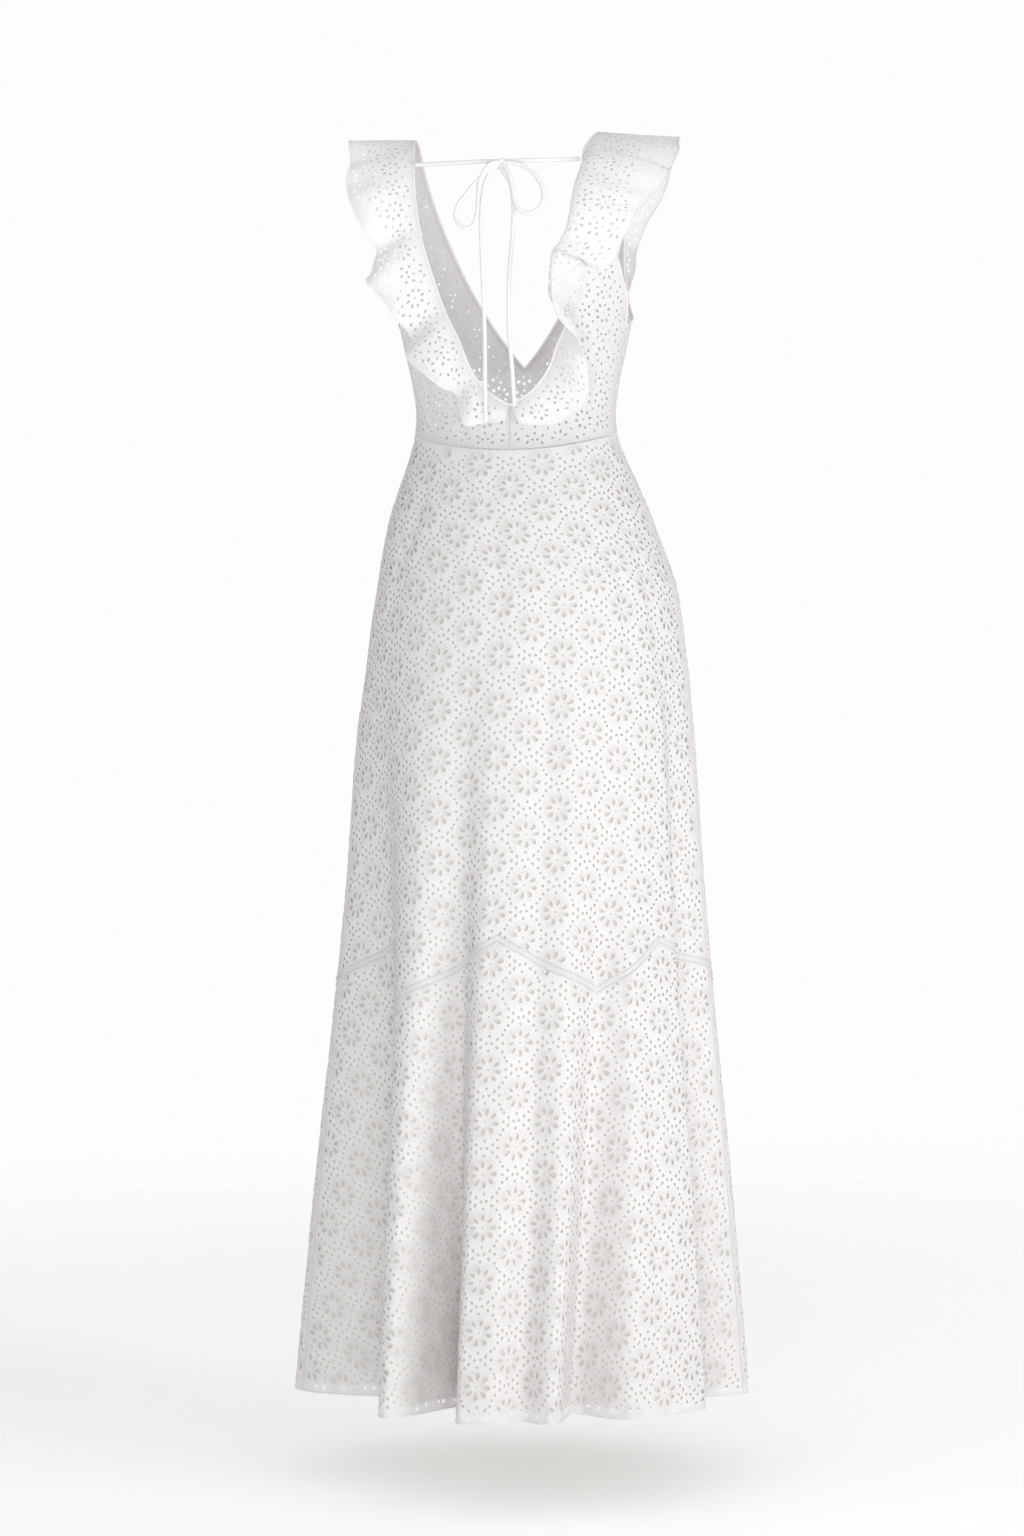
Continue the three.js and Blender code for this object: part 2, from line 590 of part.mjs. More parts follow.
// The neckline point with its outward direction and the direction away from the opening
function neckFrame(way, side) {
  const step = 1.5;
  const { point, normal } = neckPlace(way, side);
  const ahead = neckPlace(Math.min(way + step, NECK_END), side).point;
  const behind = neckPlace(Math.max(way - step, NECK_START), side).point;
  const along = ahead.sub(behind).normalize();
  const away = along.cross(normal).multiplyScalar(side).normalize();
  return { point, normal, away };
}

// Ways at even distances along the neckline, one of them on the shoulder seam
function neckStations(count) {
  const step = 2;
  const samples = [];
  let length = 0;
  let before = neckPlace(NECK_START, 1).point;
  for (let way = NECK_START; way <= NECK_END; way += step) {
    const { point } = neckPlace(way, 1);
    length += point.distanceTo(before);
    before = point;
    samples.push({ way, length });
  }
  const wayAt = track(samples, 'length', 'way');
  const ways = Array.from({ length: count }, (_, i) => wayAt((length * i) / count));
  ways.push(NECK_END);
  const nearest = ways.reduce((best, way, i) => (Math.abs(way) < Math.abs(ways[best]) ? i : best), 0);
  ways[nearest] = 0;
  return ways;
}

// Keeps a point on its own side of the middle
function ownSide(point, side, margin) {
  point.x = side * Math.max(side * point.x, margin);
  return point;
}

function addRuffle(name, side, backRows) {
  const rows = [
    ...backRows.map((row) => ({ lean: 0, ...row, way: row.level })),
    ...RUFFLE_FRONT.map((row) => ({ lean: 0, ...row, way: -row.level })),
  ];
  const outAt = track(rows, 'way', 'out');
  const standAt = track(rows, 'way', 'stand');
  const dropAt = track(rows, 'way', 'drop');
  const leanAt = track(rows, 'way', 'lean');
  const surface = (way, across) => {
    const { point, normal, away } = neckFrame(way, side);
    const root = point.addScaledVector(normal, SEAM_GAP + RUFFLE_CLOTH);
    const edge = root.clone().addScaledVector(away, outAt(way)).addScaledVector(normal, standAt(way));
    edge.z -= dropAt(way);
    const bulge = RUFFLE_BULGE * clamp(Math.abs(way) / RUFFLE_BULGE_FULL, 0, 1);
    const crown = root.clone().lerp(edge, 0.5).addScaledVector(normal, bulge);
    crown.addScaledVector(away, -2 * leanAt(way));
    const curve = new THREE.QuadraticBezierCurve3(root, crown, edge);
    return ownSide(curve.getPoint(across), side, RUFFLE_CLOTH);
  };
  const stations = neckStations(RUFFLE_STATIONS);
  const at = (u, v) => {
    const place = side > 0 ? u : RUFFLE_STATIONS - u;
    const station = Math.min(Math.floor(place), RUFFLE_STATIONS - 1);
    const way = lerp(stations[station], stations[station + 1], place - station);
    const across = v / RUFFLE_COLUMNS;
    const step = 0.5;
    const inside = 0.02;
    const along = surface(Math.min(way + step, NECK_END), across);
    along.sub(surface(Math.max(way - step, NECK_START), across));
    const reach = surface(way, Math.min(across + inside, 1)).sub(surface(way, Math.max(across - inside, 0)));
    const normal = reach.cross(along).multiplyScalar(side).normalize();
    return { point: surface(way, across), normal };
  };
  const holed = (u, v) => (v > 0 && (u + 2 * v) % 5 === 0 ? slitIn(at, u, v) : null);
  const sheet = new Sheet(RUFFLE_CLOTH);
  sheet.grid(RUFFLE_STATIONS, RUFFLE_COLUMNS, at, holed);
  addNode(`ruffle_${name}`, sheet.geometry(), EYELET_WHITE);
}

// The binding has a station at each corner of the panels' neckline edges, and ends just short of the front V
const BINDING_WAYS = [
  ...BACK_ROWS.map((row) => row.neckLevel).filter((level) => level >= NECK_START && level < 0).reverse(),
  ...FRONT_ROWS.map((row) => -row.neckLevel).filter((way) => way < NECK_END),
  NECK_END - BINDING_SHORT,
];

function addBinding(name, side) {
  const last = BINDING_WAYS.length - 1;
  const sheet = new Sheet(EYELET_CLOTH + 2 * BINDING_PROUD);
  const at = (u, v) => {
    const { point, normal, away } = neckFrame(BINDING_WAYS[side > 0 ? u : last - u], side);
    point.addScaledVector(away, v > 0 ? -BINDING_GAP : -BINDING_GAP - BINDING_WIDTH);
    point.addScaledVector(normal, BINDING_PROUD);
    return { point: ownSide(point, side, SEAM_GAP / 2), normal };
  };
  sheet.grid(last, 1, at);
  addNode(`neck_binding_${name}`, sheet.geometry(), CORD_WHITE);
}

// The cords of the bow, each a tube along its own route, and the knot that they leave
function addBow() {
  const ring = Array.from({ length: CORD_SIDES }, (_, i) => {
    const angle = (2 * Math.PI * i) / CORD_SIDES;
    return new THREE.Vector2(CORD_RADIUS * Math.cos(angle), CORD_RADIUS * Math.sin(angle));
  });
  for (const [name, points] of Object.entries(CORDS)) {
    const route = new THREE.CatmullRomCurve3(points.map((point) => new THREE.Vector3(...point)));
    const steps = Math.ceil(route.getLength() / CORD_STEP);
    addNode(name, new THREE.ExtrudeGeometry(new THREE.Shape(ring), { steps, extrudePath: route }), CORD_WHITE);
  }
  const knot = new THREE.SphereGeometry(1, KNOT.slices, KNOT.rings);
  knot.scale(...KNOT.half).translate(...KNOT.centre);
  addNode('bow_knot', knot, CORD_WHITE);
}

addBodice();
addRuffle('left', -1, RUFFLE_LEFT);
addRuffle('right', 1, RUFFLE_RIGHT);
addBinding('left', -1);
addBinding('right', 1);
addSkirt();
addBow();

export default dress;
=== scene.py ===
"""Maxi dress in white eyelet cotton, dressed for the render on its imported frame."""
import logging
import math
from dataclasses import dataclass, field
from enum import Enum
from typing import Any, Sequence

import bmesh
import bpy
import numpy as np
from mathutils import Matrix, Vector
from mathutils.geometry import delaunay_2d_cdt


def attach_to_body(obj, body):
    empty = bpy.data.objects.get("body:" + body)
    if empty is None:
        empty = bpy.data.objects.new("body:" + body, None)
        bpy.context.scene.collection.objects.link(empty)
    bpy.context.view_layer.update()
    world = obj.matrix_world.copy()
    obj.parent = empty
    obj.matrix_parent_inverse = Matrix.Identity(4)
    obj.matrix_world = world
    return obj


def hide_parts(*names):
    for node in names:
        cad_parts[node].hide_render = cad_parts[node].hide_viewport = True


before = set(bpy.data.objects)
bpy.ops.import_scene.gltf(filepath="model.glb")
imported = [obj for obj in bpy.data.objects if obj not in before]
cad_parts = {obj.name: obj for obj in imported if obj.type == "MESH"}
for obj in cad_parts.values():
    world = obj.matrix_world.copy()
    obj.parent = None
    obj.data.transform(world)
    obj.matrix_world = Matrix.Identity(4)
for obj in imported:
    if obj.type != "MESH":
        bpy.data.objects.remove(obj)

LOG = logging.getLogger("maxi_dress")
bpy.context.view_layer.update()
BODY = "root"
MM = 0.001

# Heights of the dress in millimetres from the shoulder line. The first two are drops below it.
SHOULDER_ROUND = 100.0
SLOPE_ENDS = 150.0
WAIST_SIDE = -324.0
WAIST_DIP_BACK = 21.0
WAIST_DIP_FRONT = 8.0
FOLDS_START = -470.0
DRIFT_START = -400.0
DRIFT_FULL = -500.0
ARMHOLE_END = -208.0
HEM = -1355.0
LINING_HEM = -1345.0

# Ends of the way along the neckline: minus the drop of the V behind, plus the drop of the V before
NECK_START = -298.0
NECK_END = 238.0

# Widths and angles. A strand is an angle round the body from centre back, in degrees.
NECK_HALF = 108.0
SHOULDER_SLOPE = 1 / 3
SIDE_SEAM = 77.0

# A length too small to see, used where nought would fail
TINY = 1e-6


class Side(Enum):
    """Side of the dress, by the sign of its x."""

    LEFT = -1
    RIGHT = 1

    @property
    def label(self) -> str:
        """Name used in the nodes."""
        return self.name.lower()


class Face(Enum):
    """Back or front of the dress, by the strand of its middle."""

    BACK = 0
    FRONT = 180

    @property
    def label(self) -> str:
        """Name used in the nodes."""
        return self.name.lower()


@dataclass(frozen=True)
class Section:
    """A cross-section of the body: its half width, its depths behind and before the axis, its sway."""

    level: float
    half_width: float
    back: float
    front: float
    sway: float = 0.0


@dataclass(frozen=True)
class Fold:
    """A fold of the skirt: its trough at hip and hem, its reaches, its depth, how late it deepens."""

    hip: float
    hem: float
    before: float
    after: float
    depth: float
    growth: float


@dataclass(frozen=True)
class Crease:
    """A soft crease pressed into the cloth between two levels."""

    strand: float
    top: float
    foot: float
    reach: float
    depth: float
    wander: float = 0.0


@dataclass(frozen=True)
class PanelRow:
    """A row of a bodice panel: its neckline edge, its armhole edge, and how far the tie draws it in."""

    neck_half: float
    neck_level: float
    edge_half: float = 0.0
    edge_level: float = 0.0
    pull: float = 0.0


@dataclass(frozen=True)
class RuffleRow:
    """The ruffle's free edge: away from the neckline, out from the panel, down, and rolled in."""

    level: float
    out: float
    stand: float
    drop: float
    lean: float = 0.0


SECTIONS = (
    Section(0, 190, 86, 70),
    Section(-50, 178, 86, 74),
    Section(-100, 163, 88, 84),
    Section(-150, 144, 93, 102),
    Section(-190, 130, 92, 117),
    Section(-230, 121, 88, 121),
    Section(-267, 113, 81, 108),
    Section(-300, 109, 76, 94),
    Section(-324, 111, 77, 90),
    Section(-349, 119, 84, 93, 1.2),
    Section(-387, 134, 99, 101, 3),
    Section(-425, 147, 113, 110, 5),
    Section(-501, 166, 133, 122, 11),
    Section(-577, 177, 146, 133, 11),
    Section(-654, 186, 157, 143, 9),
    Section(-807, 197, 176, 162, 8),
    Section(-959, 211, 195, 180, 6),
    Section(-1112, 227, 212, 196, 4),
    Section(-1264, 241, 228, 212, 2),
    Section(-1355, 249, 238, 221, 1),
)

FOLDS = (
    Fold(-61, -49, 34, 18, 100, 1.3),
    Fold(-16.5, -20, 11, 9.5, 104, 1.9),
    Fold(10, 4, 8, 7, 22, 1.5),
    Fold(35, 20, 9, 12, 56, 1.7),
    Fold(62, 63, 9, 16, 60, 1.4),
    Fold(93, 92, 12, 10, 60, 1.3),
    Fold(114, 112, 10, 10, 62, 1.4),
    Fold(140, 136, 12, 15, 74, 1.2),
    Fold(170, 166, 13, 10, 70, 1.4),
    Fold(200, 197, 12, 14, 78, 1.2),
    Fold(229, 228, 15, 11, 64, 1.4),
    Fold(255, 257, 12, 12, 66, 1.3),
)

# Corners of the chevron seam by strand and level, round the skirt from beside the left side seam
CHEVRON_CORNERS = (
    (-84, -917),
    (-43, -868),
    (-37, -930),
    (-7, -861),
    (20, -917),
    (45, -866),
    (100, -917),
    (124, -866),
    (150, -917),
    (176, -866),
    (202, -917),
    (228, -866),
    (276, -917),
)

CREASES = (
    Crease(-48, -330, -560, 7, 3.0, 4),
    Crease(-9, -352, -610, 6, 2.4, -3),
    Crease(4, -420, -900, 5, 3.2, 5),
    Crease(27, -345, -640, 6, 3.0, 4),
    Crease(52, -340, -700, 7, 2.2, 6),
    Crease(64, -600, -1150, 5, 2.4, 3),
    Crease(-40, -800, -1330, 4, 3.4, -2),
    Crease(38, -900, -1350, 4, 3.0, 2),
    Crease(8, -1000, -1360, 4, 3.2, -2),
    Crease(120, -345, -760, 6, 3.0, 4),
    Crease(152, -340, -820, 6, 3.2, -4),
    Crease(184, -335, -700, 6, 3.0, 3),
    Crease(214, -345, -860, 6, 3.2, 4),
    Crease(243, -340, -720, 6, 3.0, -4),
    Crease(150, -900, -1355, 4, 3.2, 2),
    Crease(212, -960, -1355, 4, 3.2, -2),
    Crease(-58, -222, -318, 6, 1.8, 5),
    Crease(58, -226, -320, 6, 1.8, -5),
    Crease(-30, -268, -342, 5, 1.6, 4),
    Crease(34, -262, -340, 5, 1.6, -4),
)

BACK_ROWS = (
    PanelRow(108, 0, 152, 0, 13),
    PanelRow(107.4, -8, 149, -8, 17),
    PanelRow(106, -30, 140, -30, 25),
    PanelRow(103.5, -62, 130, -64, 24),
    PanelRow(97, -111, 122, -112, 13),
    PanelRow(82, -163, 123, -158, 3),
    PanelRow(69.5, -198, 124.5, -184),
    PanelRow(54.7, -229),
    PanelRow(42, -261),
    PanelRow(26.5, -281),
    PanelRow(10, -293),
    PanelRow(0, -298),
)

FRONT_ROWS = (
    PanelRow(108, 0, 152, 0, 13),
    PanelRow(107, -8, 148, -8, 12),
    PanelRow(104, -30, 137, -30, 8),
    PanelRow(95, -65, 124, -65, 3),
    PanelRow(82, -100, 117, -100),
    PanelRow(67, -134, 116, -132),
    PanelRow(51, -165, 120, -160),
    PanelRow(34, -193, 124.5, -184),
    PanelRow(17, -217),
    PanelRow(0, -238),
)

RUFFLE_BACK = {
    Side.LEFT: (
        RuffleRow(0, 69, 17, -9),
        RuffleRow(-22, 63, 20, 8),
        RuffleRow(-42, 67, 24, 8),
        RuffleRow(-56, 64, 25, 10),
        RuffleRow(-72, 57, 24, 12),
        RuffleRow(-90, 47, 18, 18),
        RuffleRow(-107, 47, 13, 14),
        RuffleRow(-120, 52, 20, 11),
        RuffleRow(-134, 59, 26, 7),
        RuffleRow(-150, 55, 25, 1),
        RuffleRow(-170, 43, 21, 9),
        RuffleRow(-194, 41, 9, 10),
        RuffleRow(-213, 48, 22, 7),
        RuffleRow(-231, 37, 24, 13),
        RuffleRow(-246, 24, 20, 18),
        RuffleRow(-262, 16, 9, 14),
        RuffleRow(-277, 18, 20, 25),
        RuffleRow(-289, 16, 14, 14),
        RuffleRow(-298, 13, 8, 0),
    ),
    Side.RIGHT: (
        RuffleRow(0, 83, 20, 0),
        RuffleRow(-12, 94, 22, 4, 2),
        RuffleRow(-41, 78, 34, 34, 30),
        RuffleRow(-60, 62, 33, 35, 34),
        RuffleRow(-83, 44, 31, 32, 40),
        RuffleRow(-97, 31, 28, 36, 43),
        RuffleRow(-111, 21, 29, 40, 46),
        RuffleRow(-120, 7, 30, 36, 43),
        RuffleRow(-136, -16, 33, 18, 38),
        RuffleRow(-160, -49, 30, 18, 18),
        RuffleRow(-172, -50, 30, 25, 15),
        RuffleRow(-190, -37, 32, 28, 12),
        RuffleRow(-200, -20, 32, 26, 4),
        RuffleRow(-215, 5, 28, 17),
        RuffleRow(-233, 26, 24, 13),
        RuffleRow(-250, 35, 20, 15),
        RuffleRow(-267, 47, 18, 3),
        RuffleRow(-284, 57, 12, -15),
        RuffleRow(-291, 45, 10, -11),
        RuffleRow(-298, 22, 8, -3),
    ),
}

RUFFLE_FRONT = (
    RuffleRow(-40, 64, 26, 4),
    RuffleRow(-80, 44, 14, 12),
    RuffleRow(-115, 48, 20, 14),
    RuffleRow(-150, 38, 12, 14),
    RuffleRow(-185, 46, 22, 8),
    RuffleRow(-215, 30, 12, 4),
    RuffleRow(-238, 22, 8, 0),
)


def smooth(value: np.ndarray, low: float, high: float) -> np.ndarray:
    """Rise smoothly from 0 at low to 1 at high.

    Args:
        value: Positions to read.
        low: Where the rise starts.
        high: Where it ends.

    Returns:
        The height at each position.
    """
    share = np.clip((value - low) / (high - low), 0, 1)
    return share * share * (3 - 2 * share)


def unit(vectors: np.ndarray) -> np.ndarray:
    """Scale each vector to length 1."""
    return vectors / np.maximum(np.linalg.norm(vectors, axis=-1, keepdims=True), 1e-9)


def run_lengths(points: np.ndarray) -> np.ndarray:
    """Measure the distance from the first point to each point along a line.

    Args:
        points: The line's points, one row each.

    Returns:
        One distance for each point, starting at 0.
    """
    steps = np.linalg.norm(np.diff(points, axis=0), axis=-1)
    return np.concatenate([[0.0], np.cumsum(steps)])


def respaced(points: np.ndarray, step: float) -> np.ndarray:
    """Spread points evenly along a line, keeping its two ends.

    Args:
        points: The line's points.
        step: Wanted distance between two points.

    Returns:
        The new points.
    """
    lengths = run_lengths(points)
    count = max(int(round(lengths[-1] / step)), 1)
    wanted = np.linspace(0, lengths[-1], count + 1)
    return np.stack([np.interp(wanted, lengths, column) for column in points.T], axis=-1)


def curve_through(
    at: np.ndarray, value: np.ndarray, slope: np.ndarray, position: np.ndarray
) -> np.ndarray:
    """Read a smooth curve through points with known slopes.

    Args:
        at: Rising positions of the points.
        value: The curve's value at each point.
        slope: Its slope at each point.
        position: Where to read it.

    Returns:
        The value at each position.
    """
    i = np.clip(np.searchsorted(at, position) - 1, 0, len(at) - 2)
    span = at[i + 1] - at[i]
    t = (position - at[i]) / span
    rise = t * t * (3 - 2 * t)
    lead = t * (1 - t) ** 2 * span
    trail = t * t * (t - 1) * span
    ends = value[i] * (1 - rise) + value[i + 1] * rise
    return ends + slope[i] * lead + slope[i + 1] * trail


class Track:
    """A smooth curve through the rows of a table, without overshoot between them."""

    def __init__(self, rows: Sequence[tuple[float, float]]) -> None:
        """Fit the curve.

        Args:
            rows: Pairs of position and value, in any order.
        """
        ordered = np.array(sorted(rows), float)
        self.at, self.value = ordered.T
        rises = np.diff(self.value) / np.diff(self.at)
        before, after = rises[:-1], rises[1:]
        same = before * after > 0
        inner = np.where(same, 2 * before * after / np.where(same, before + after, 1), 0)
        self.tangent = np.concatenate([rises[:1], inner, rises[-1:]])

    def __call__(self, position: np.ndarray | float) -> np.ndarray:
        """Read the curve.

        Args:
            position: Where to read it; past its ends it keeps its last value.

        Returns:
            The curve's value at each position.
        """
        within = np.clip(np.asarray(position, float), self.at[0], self.at[-1])
        return curve_through(self.at, self.value, self.tangent, within)


@dataclass(frozen=True)
class Layer:
    """How far a layer of cloth hangs inside the outer surface."""

    inset: Track


OUTER = Layer(Track(((HEM, 0.3), (0, 0.3))))
LINING = Layer(Track(((HEM, 2.8), (-420, 2.8), (-324, 2.2))))


class WornForm:
    """The surface of the dress as it is worn, in millimetres, by strand and level."""

    SMALL_TURN = 0.15
    SMALL_DROP = 0.4
    DROP_SHARE = 8.0

    def __init__(self) -> None:
        """Fit the curves through the tables."""
        self.half_width = Track([(row.level, row.half_width) for row in SECTIONS])
        self.back = Track([(row.level, row.back) for row in SECTIONS])
        self.front = Track([(row.level, row.front) for row in SECTIONS])
        self.sway = Track([(row.level, row.sway) for row in SECTIONS])
        self.fold_turns = np.array([(fold.hem - FOLDS[0].hem) % 360 for fold in FOLDS])
        self.fold_drifts = np.array([fold.hip - fold.hem for fold in FOLDS])

    def drift(self, strand: np.ndarray) -> np.ndarray:
        """Tell how much further round the strands lie at the hip than at the hem.

        Args:
            strand: Angles round the body.

        Returns:
            The angle to add to each.
        """
        along = (strand - FOLDS[0].hem) % 360
        lower = np.searchsorted(self.fold_turns, along, side="right") - 1
        upper = (lower + 1) % len(FOLDS)
        span = (self.fold_turns[upper] - self.fold_turns[lower]) % 360
        share = smooth((along - self.fold_turns[lower]) / span, 0, 1)
        return self.fold_drifts[lower] * (1 - share) + self.fold_drifts[upper] * share

    def hollows(self, strand: np.ndarray, level: np.ndarray) -> np.ndarray:
        """Add up the depth of the folds and creases.

        Args:
            strand: Angles round the body.
            level: Heights on the body.

        Returns:
            How far each point lies in from the smooth section.
        """
        fallen = np.clip((FOLDS_START - level) / (FOLDS_START - HEM), 0, 1)
        depth = np.zeros(np.shape(strand))
        for fold in FOLDS:
            away = (strand - fold.hem + 180) % 360 - 180
            reach = np.where(away < 0, fold.before, fold.after)
            bell = np.cos(np.pi / 2 * np.clip(away / reach, -1, 1)) ** 2
            depth = depth + fold.depth * fallen**fold.growth * bell
        for crease in CREASES:
            share = np.clip((crease.top - level) / (crease.top - crease.foot), 0, 1)
            away = (strand - crease.strand - crease.wander * share + 180) % 360 - 180
            bell = np.cos(np.pi / 2 * np.clip(away / crease.reach, -1, 1)) ** 2
            depth = depth + crease.depth * bell * np.sin(np.pi * share) ** 2
        return depth

    def point(self, strand: np.ndarray, level: np.ndarray, layer: Layer) -> np.ndarray:
        """Find points of the surface.

        Args:
            strand: Angles round the body.
            level: Heights on the body.
            layer: The layer of cloth.

        Returns:
            One row of x, y and z for each point.
        """
        leaning = np.clip((level - HEM) / (DRIFT_FULL - HEM), 0, 1)
        lean = smooth(-level, -DRIFT_START, -DRIFT_FULL) * leaning
        angle = np.radians(strand + self.drift(strand) * lean)
        across = np.cos(angle)
        inset = layer.inset(level)
        rounding = np.sqrt(1 - (1 - np.clip(-level / SHOULDER_ROUND, 0, 1)) ** 2)
        depth = np.where(across > 0, self.back(level), self.front(level)) - inset
        x = (self.half_width(level) - inset) * np.sin(angle)
        y = -depth * across * rounding
        keep = 1 - self.hollows(strand, level) / np.maximum(np.hypot(x, y), 1)
        slope = SHOULDER_SLOPE * np.clip(1 + level / SLOPE_ENDS, 0, 1) ** 2
        height = level - slope * (np.abs(x) - NECK_HALF)
        return np.stack([x * keep + self.sway(level), y * keep, height], axis=-1)

    def normal(self, strand: np.ndarray, level: np.ndarray, layer: Layer) -> np.ndarray:
        """Find the outward directions on the surface, which are straight up along the shoulder seam.

        Args:
            strand: Angles round the body.
            level: Heights on the body.
            layer: The layer of cloth.

        Returns:
            One direction of length 1 for each point.
        """
        turn = self.SMALL_TURN
        down = np.clip(-level / self.DROP_SHARE, TINY, self.SMALL_DROP)
        top = np.minimum(level + down, 0)
        around = self.point(strand + turn, level, layer) - self.point(strand - turn, level, layer)
        up = self.point(strand, top, layer) - self.point(strand, top - 2 * down, layer)
        return unit(np.cross(around, up))

    def waist(self, strand: np.ndarray) -> np.ndarray:
        """Give the level of the waist seam at a strand."""
        across = np.cos(np.radians(strand))
        return WAIST_SIDE - np.where(across > 0, WAIST_DIP_BACK, WAIST_DIP_FRONT) * across**2

    def chevron(self, strand: np.ndarray) -> np.ndarray:
        """Give the level of the chevron seam at a strand, straight from corner to corner."""
        corners, levels = np.array(CHEVRON_CORNERS, float).T
        return np.interp((np.asarray(strand, float) - corners[0]) % 360 + corners[0], corners, levels)

    def strand_at(self, half: np.ndarray, level: np.ndarray) -> np.ndarray:
        """Give the strand of a point at half a width from the middle of the back."""
        return np.degrees(np.arcsin(np.clip(half / self.half_width(level), 0, 1)))


class BodyPattern:
    """The flat pattern of cloth on the body: distance round it against distance down it."""

    BATCH = 4000

    def __init__(
        self,
        form: WornForm,
        strands: np.ndarray,
        levels: np.ndarray,
        middle: float,
        guide: float,
        cone: float = 0.0,
    ) -> None:
        """Measure the surface.

        Args:
            form: The surface.
            strands: Rising angles that the pattern spans.
            levels: Falling heights that it spans.
            middle: The strand that lies straight in the pattern.
            guide: The strand along which the way down is measured.
            cone: Radius of the first level in a pattern cut as part of a ring, or 0.
        """
        self.form = form
        self.strands = strands
        self.levels = levels
        self.cone = cone
        points = form.point(strands[None, :], levels[:, None], OUTER)
        steps = np.linalg.norm(np.diff(points, axis=1), axis=-1)
        girth = np.concatenate([np.zeros((len(levels), 1)), np.cumsum(steps, axis=1)], axis=1)
        centre = int(np.argmin(np.abs(strands - middle)))
        self.girth = girth - girth[:, centre : centre + 1]
        self.slant = run_lengths(form.point(np.full(len(levels), guide), levels, OUTER))

    def flatten(self, places: np.ndarray) -> np.ndarray:
        """Lay places of the surface out flat.

        Args:
            places: Rows of strand and level.

        Returns:
            Rows of flat x and y in millimetres.
        """
        row = np.interp(-places[:, 1], -self.levels, np.arange(len(self.levels)))
        column = np.interp(places[:, 0], self.strands, np.arange(len(self.strands)))
        top = np.minimum(row.astype(int), len(self.levels) - 2)
        left = np.minimum(column.astype(int), len(self.strands) - 2)
        down, over = row - top, column - left
        upper = self.girth[top, left] * (1 - over) + self.girth[top, left + 1] * over
        lower = self.girth[top + 1, left] * (1 - over) + self.girth[top + 1, left + 1] * over
        girth = upper * (1 - down) + lower * down
        slant = np.interp(row, np.arange(len(self.levels)), self.slant)
        if not self.cone:
            return np.stack([girth, -slant], axis=-1)
        radius = self.cone + slant
        return np.stack([radius * np.sin(girth / radius), -radius * np.cos(girth / radius)], axis=-1)

    def place(self, flat: np.ndarray) -> tuple[np.ndarray, np.ndarray]:
        """Lay flat points onto the surface.

        Args:
            flat: Rows of flat x and y.

        Returns:
            The points on the surface, and the outward directions there.
        """
        if self.cone:
            radius = np.hypot(flat[:, 0], flat[:, 1])
            girth = np.arctan2(flat[:, 0], -flat[:, 1]) * radius
            slant = radius - self.cone
        else:
            girth, slant = flat[:, 0], -flat[:, 1]
        row = np.interp(slant, self.slant, np.arange(len(self.levels)))
        level = np.interp(row, np.arange(len(self.levels)), self.levels)
        strand = np.empty(len(flat))
        for start in range(0, len(flat), self.BATCH):
            part = slice(start, start + self.BATCH)
            strand[part] = self._strands_at(row[part], girth[part])
        return self.form.point(strand, level, OUTER), self.form.normal(strand, level, OUTER)

    def _strands_at(self, row: np.ndarray, girth: np.ndarray) -> np.ndarray:
        """Find the strands at distances round the body.

        Args:
            row: Fractional rows of the table.
            girth: Distance round the body in each row.

        Returns:
            One strand for each.
        """
        top = np.minimum(row.astype(int), len(self.levels) - 2)
        down = (row - top)[:, None]
        rows = self.girth[top] * (1 - down) + self.girth[top + 1] * down
        left = np.clip((rows < girth[:, None]).sum(axis=1) - 1, 0, len(self.strands) - 2)
        each = np.arange(len(row))
        span = rows[each, left + 1] - rows[each, left]
        over = np.clip((girth - rows[each, left]) / np.maximum(span, TINY), 0, 1)
        return self.strands[left] * (1 - over) + self.strands[left + 1] * over


class Neckline:
    """The neckline of one side, followed by its way: minus behind the shoulder, plus before it."""

    LEAST_HALF = 0.15
    SMALL_STEP = 1.5
    FINE_WAYS = 600

    def __init__(self, form: WornForm, side: Side) -> None:
        """Fit the neckline's curves.

        Args:
            form: The surface it lies on.
            side: Side of the dress.
        """
        self.form = form
        self.side = side
        self.back = self._halves(BACK_ROWS)
        self.front = self._halves(FRONT_ROWS)

    def _halves(self, rows: Sequence[PanelRow]) -> Track:
        """Fit the neckline's half width to its level."""
        pulled = self.side is Side.RIGHT
        return Track([(row.neck_level, row.neck_half - (row.pull if pulled else 0)) for row in rows])

    def place(self, way: np.ndarray) -> np.ndarray:
        """Find the strands and levels of points along the neckline.

        Args:
            way: Positions along it.

        Returns:
            Rows of strand and level.
        """
        level = -np.abs(way)
        half = np.maximum(np.where(way < 0, self.back(level), self.front(level)), self.LEAST_HALF)
        strand = self.form.strand_at(half, level)
        return np.stack([self.side.value * np.where(way < 0, strand, 180 - strand), level], axis=-1)

    def axes(self, way: np.ndarray) -> tuple[np.ndarray, np.ndarray, np.ndarray]:
        """Find the neckline with its directions.

        Args:
            way: Positions along it.

        Returns:
            The points, the outward directions, and the directions away from the opening.
        """
        step = self.SMALL_STEP
        strand, level = self.place(way).T
        point = self.form.point(strand, level, OUTER)
        normal = self.form.normal(strand, level, OUTER)
        ahead = self.form.point(*self.place(np.minimum(way + step, NECK_END)).T, OUTER)
        behind = self.form.point(*self.place(np.maximum(way - step, NECK_START)).T, OUTER)
        away = unit(np.cross(unit(ahead - behind), normal) * self.side.value)
        return point, normal, away

    def stations(self, step: float) -> np.ndarray:
        """Spread ways at even distances along the neckline.

        Args:
            step: Distance between two of them.

        Returns:
            The ways from the back V to the front V.
        """
        ways = np.linspace(NECK_START, NECK_END, self.FINE_WAYS)
        lengths = run_lengths(self.axes(ways)[0])
        return np.interp(np.arange(0, lengths[-1] + step / 2, step), lengths, ways)


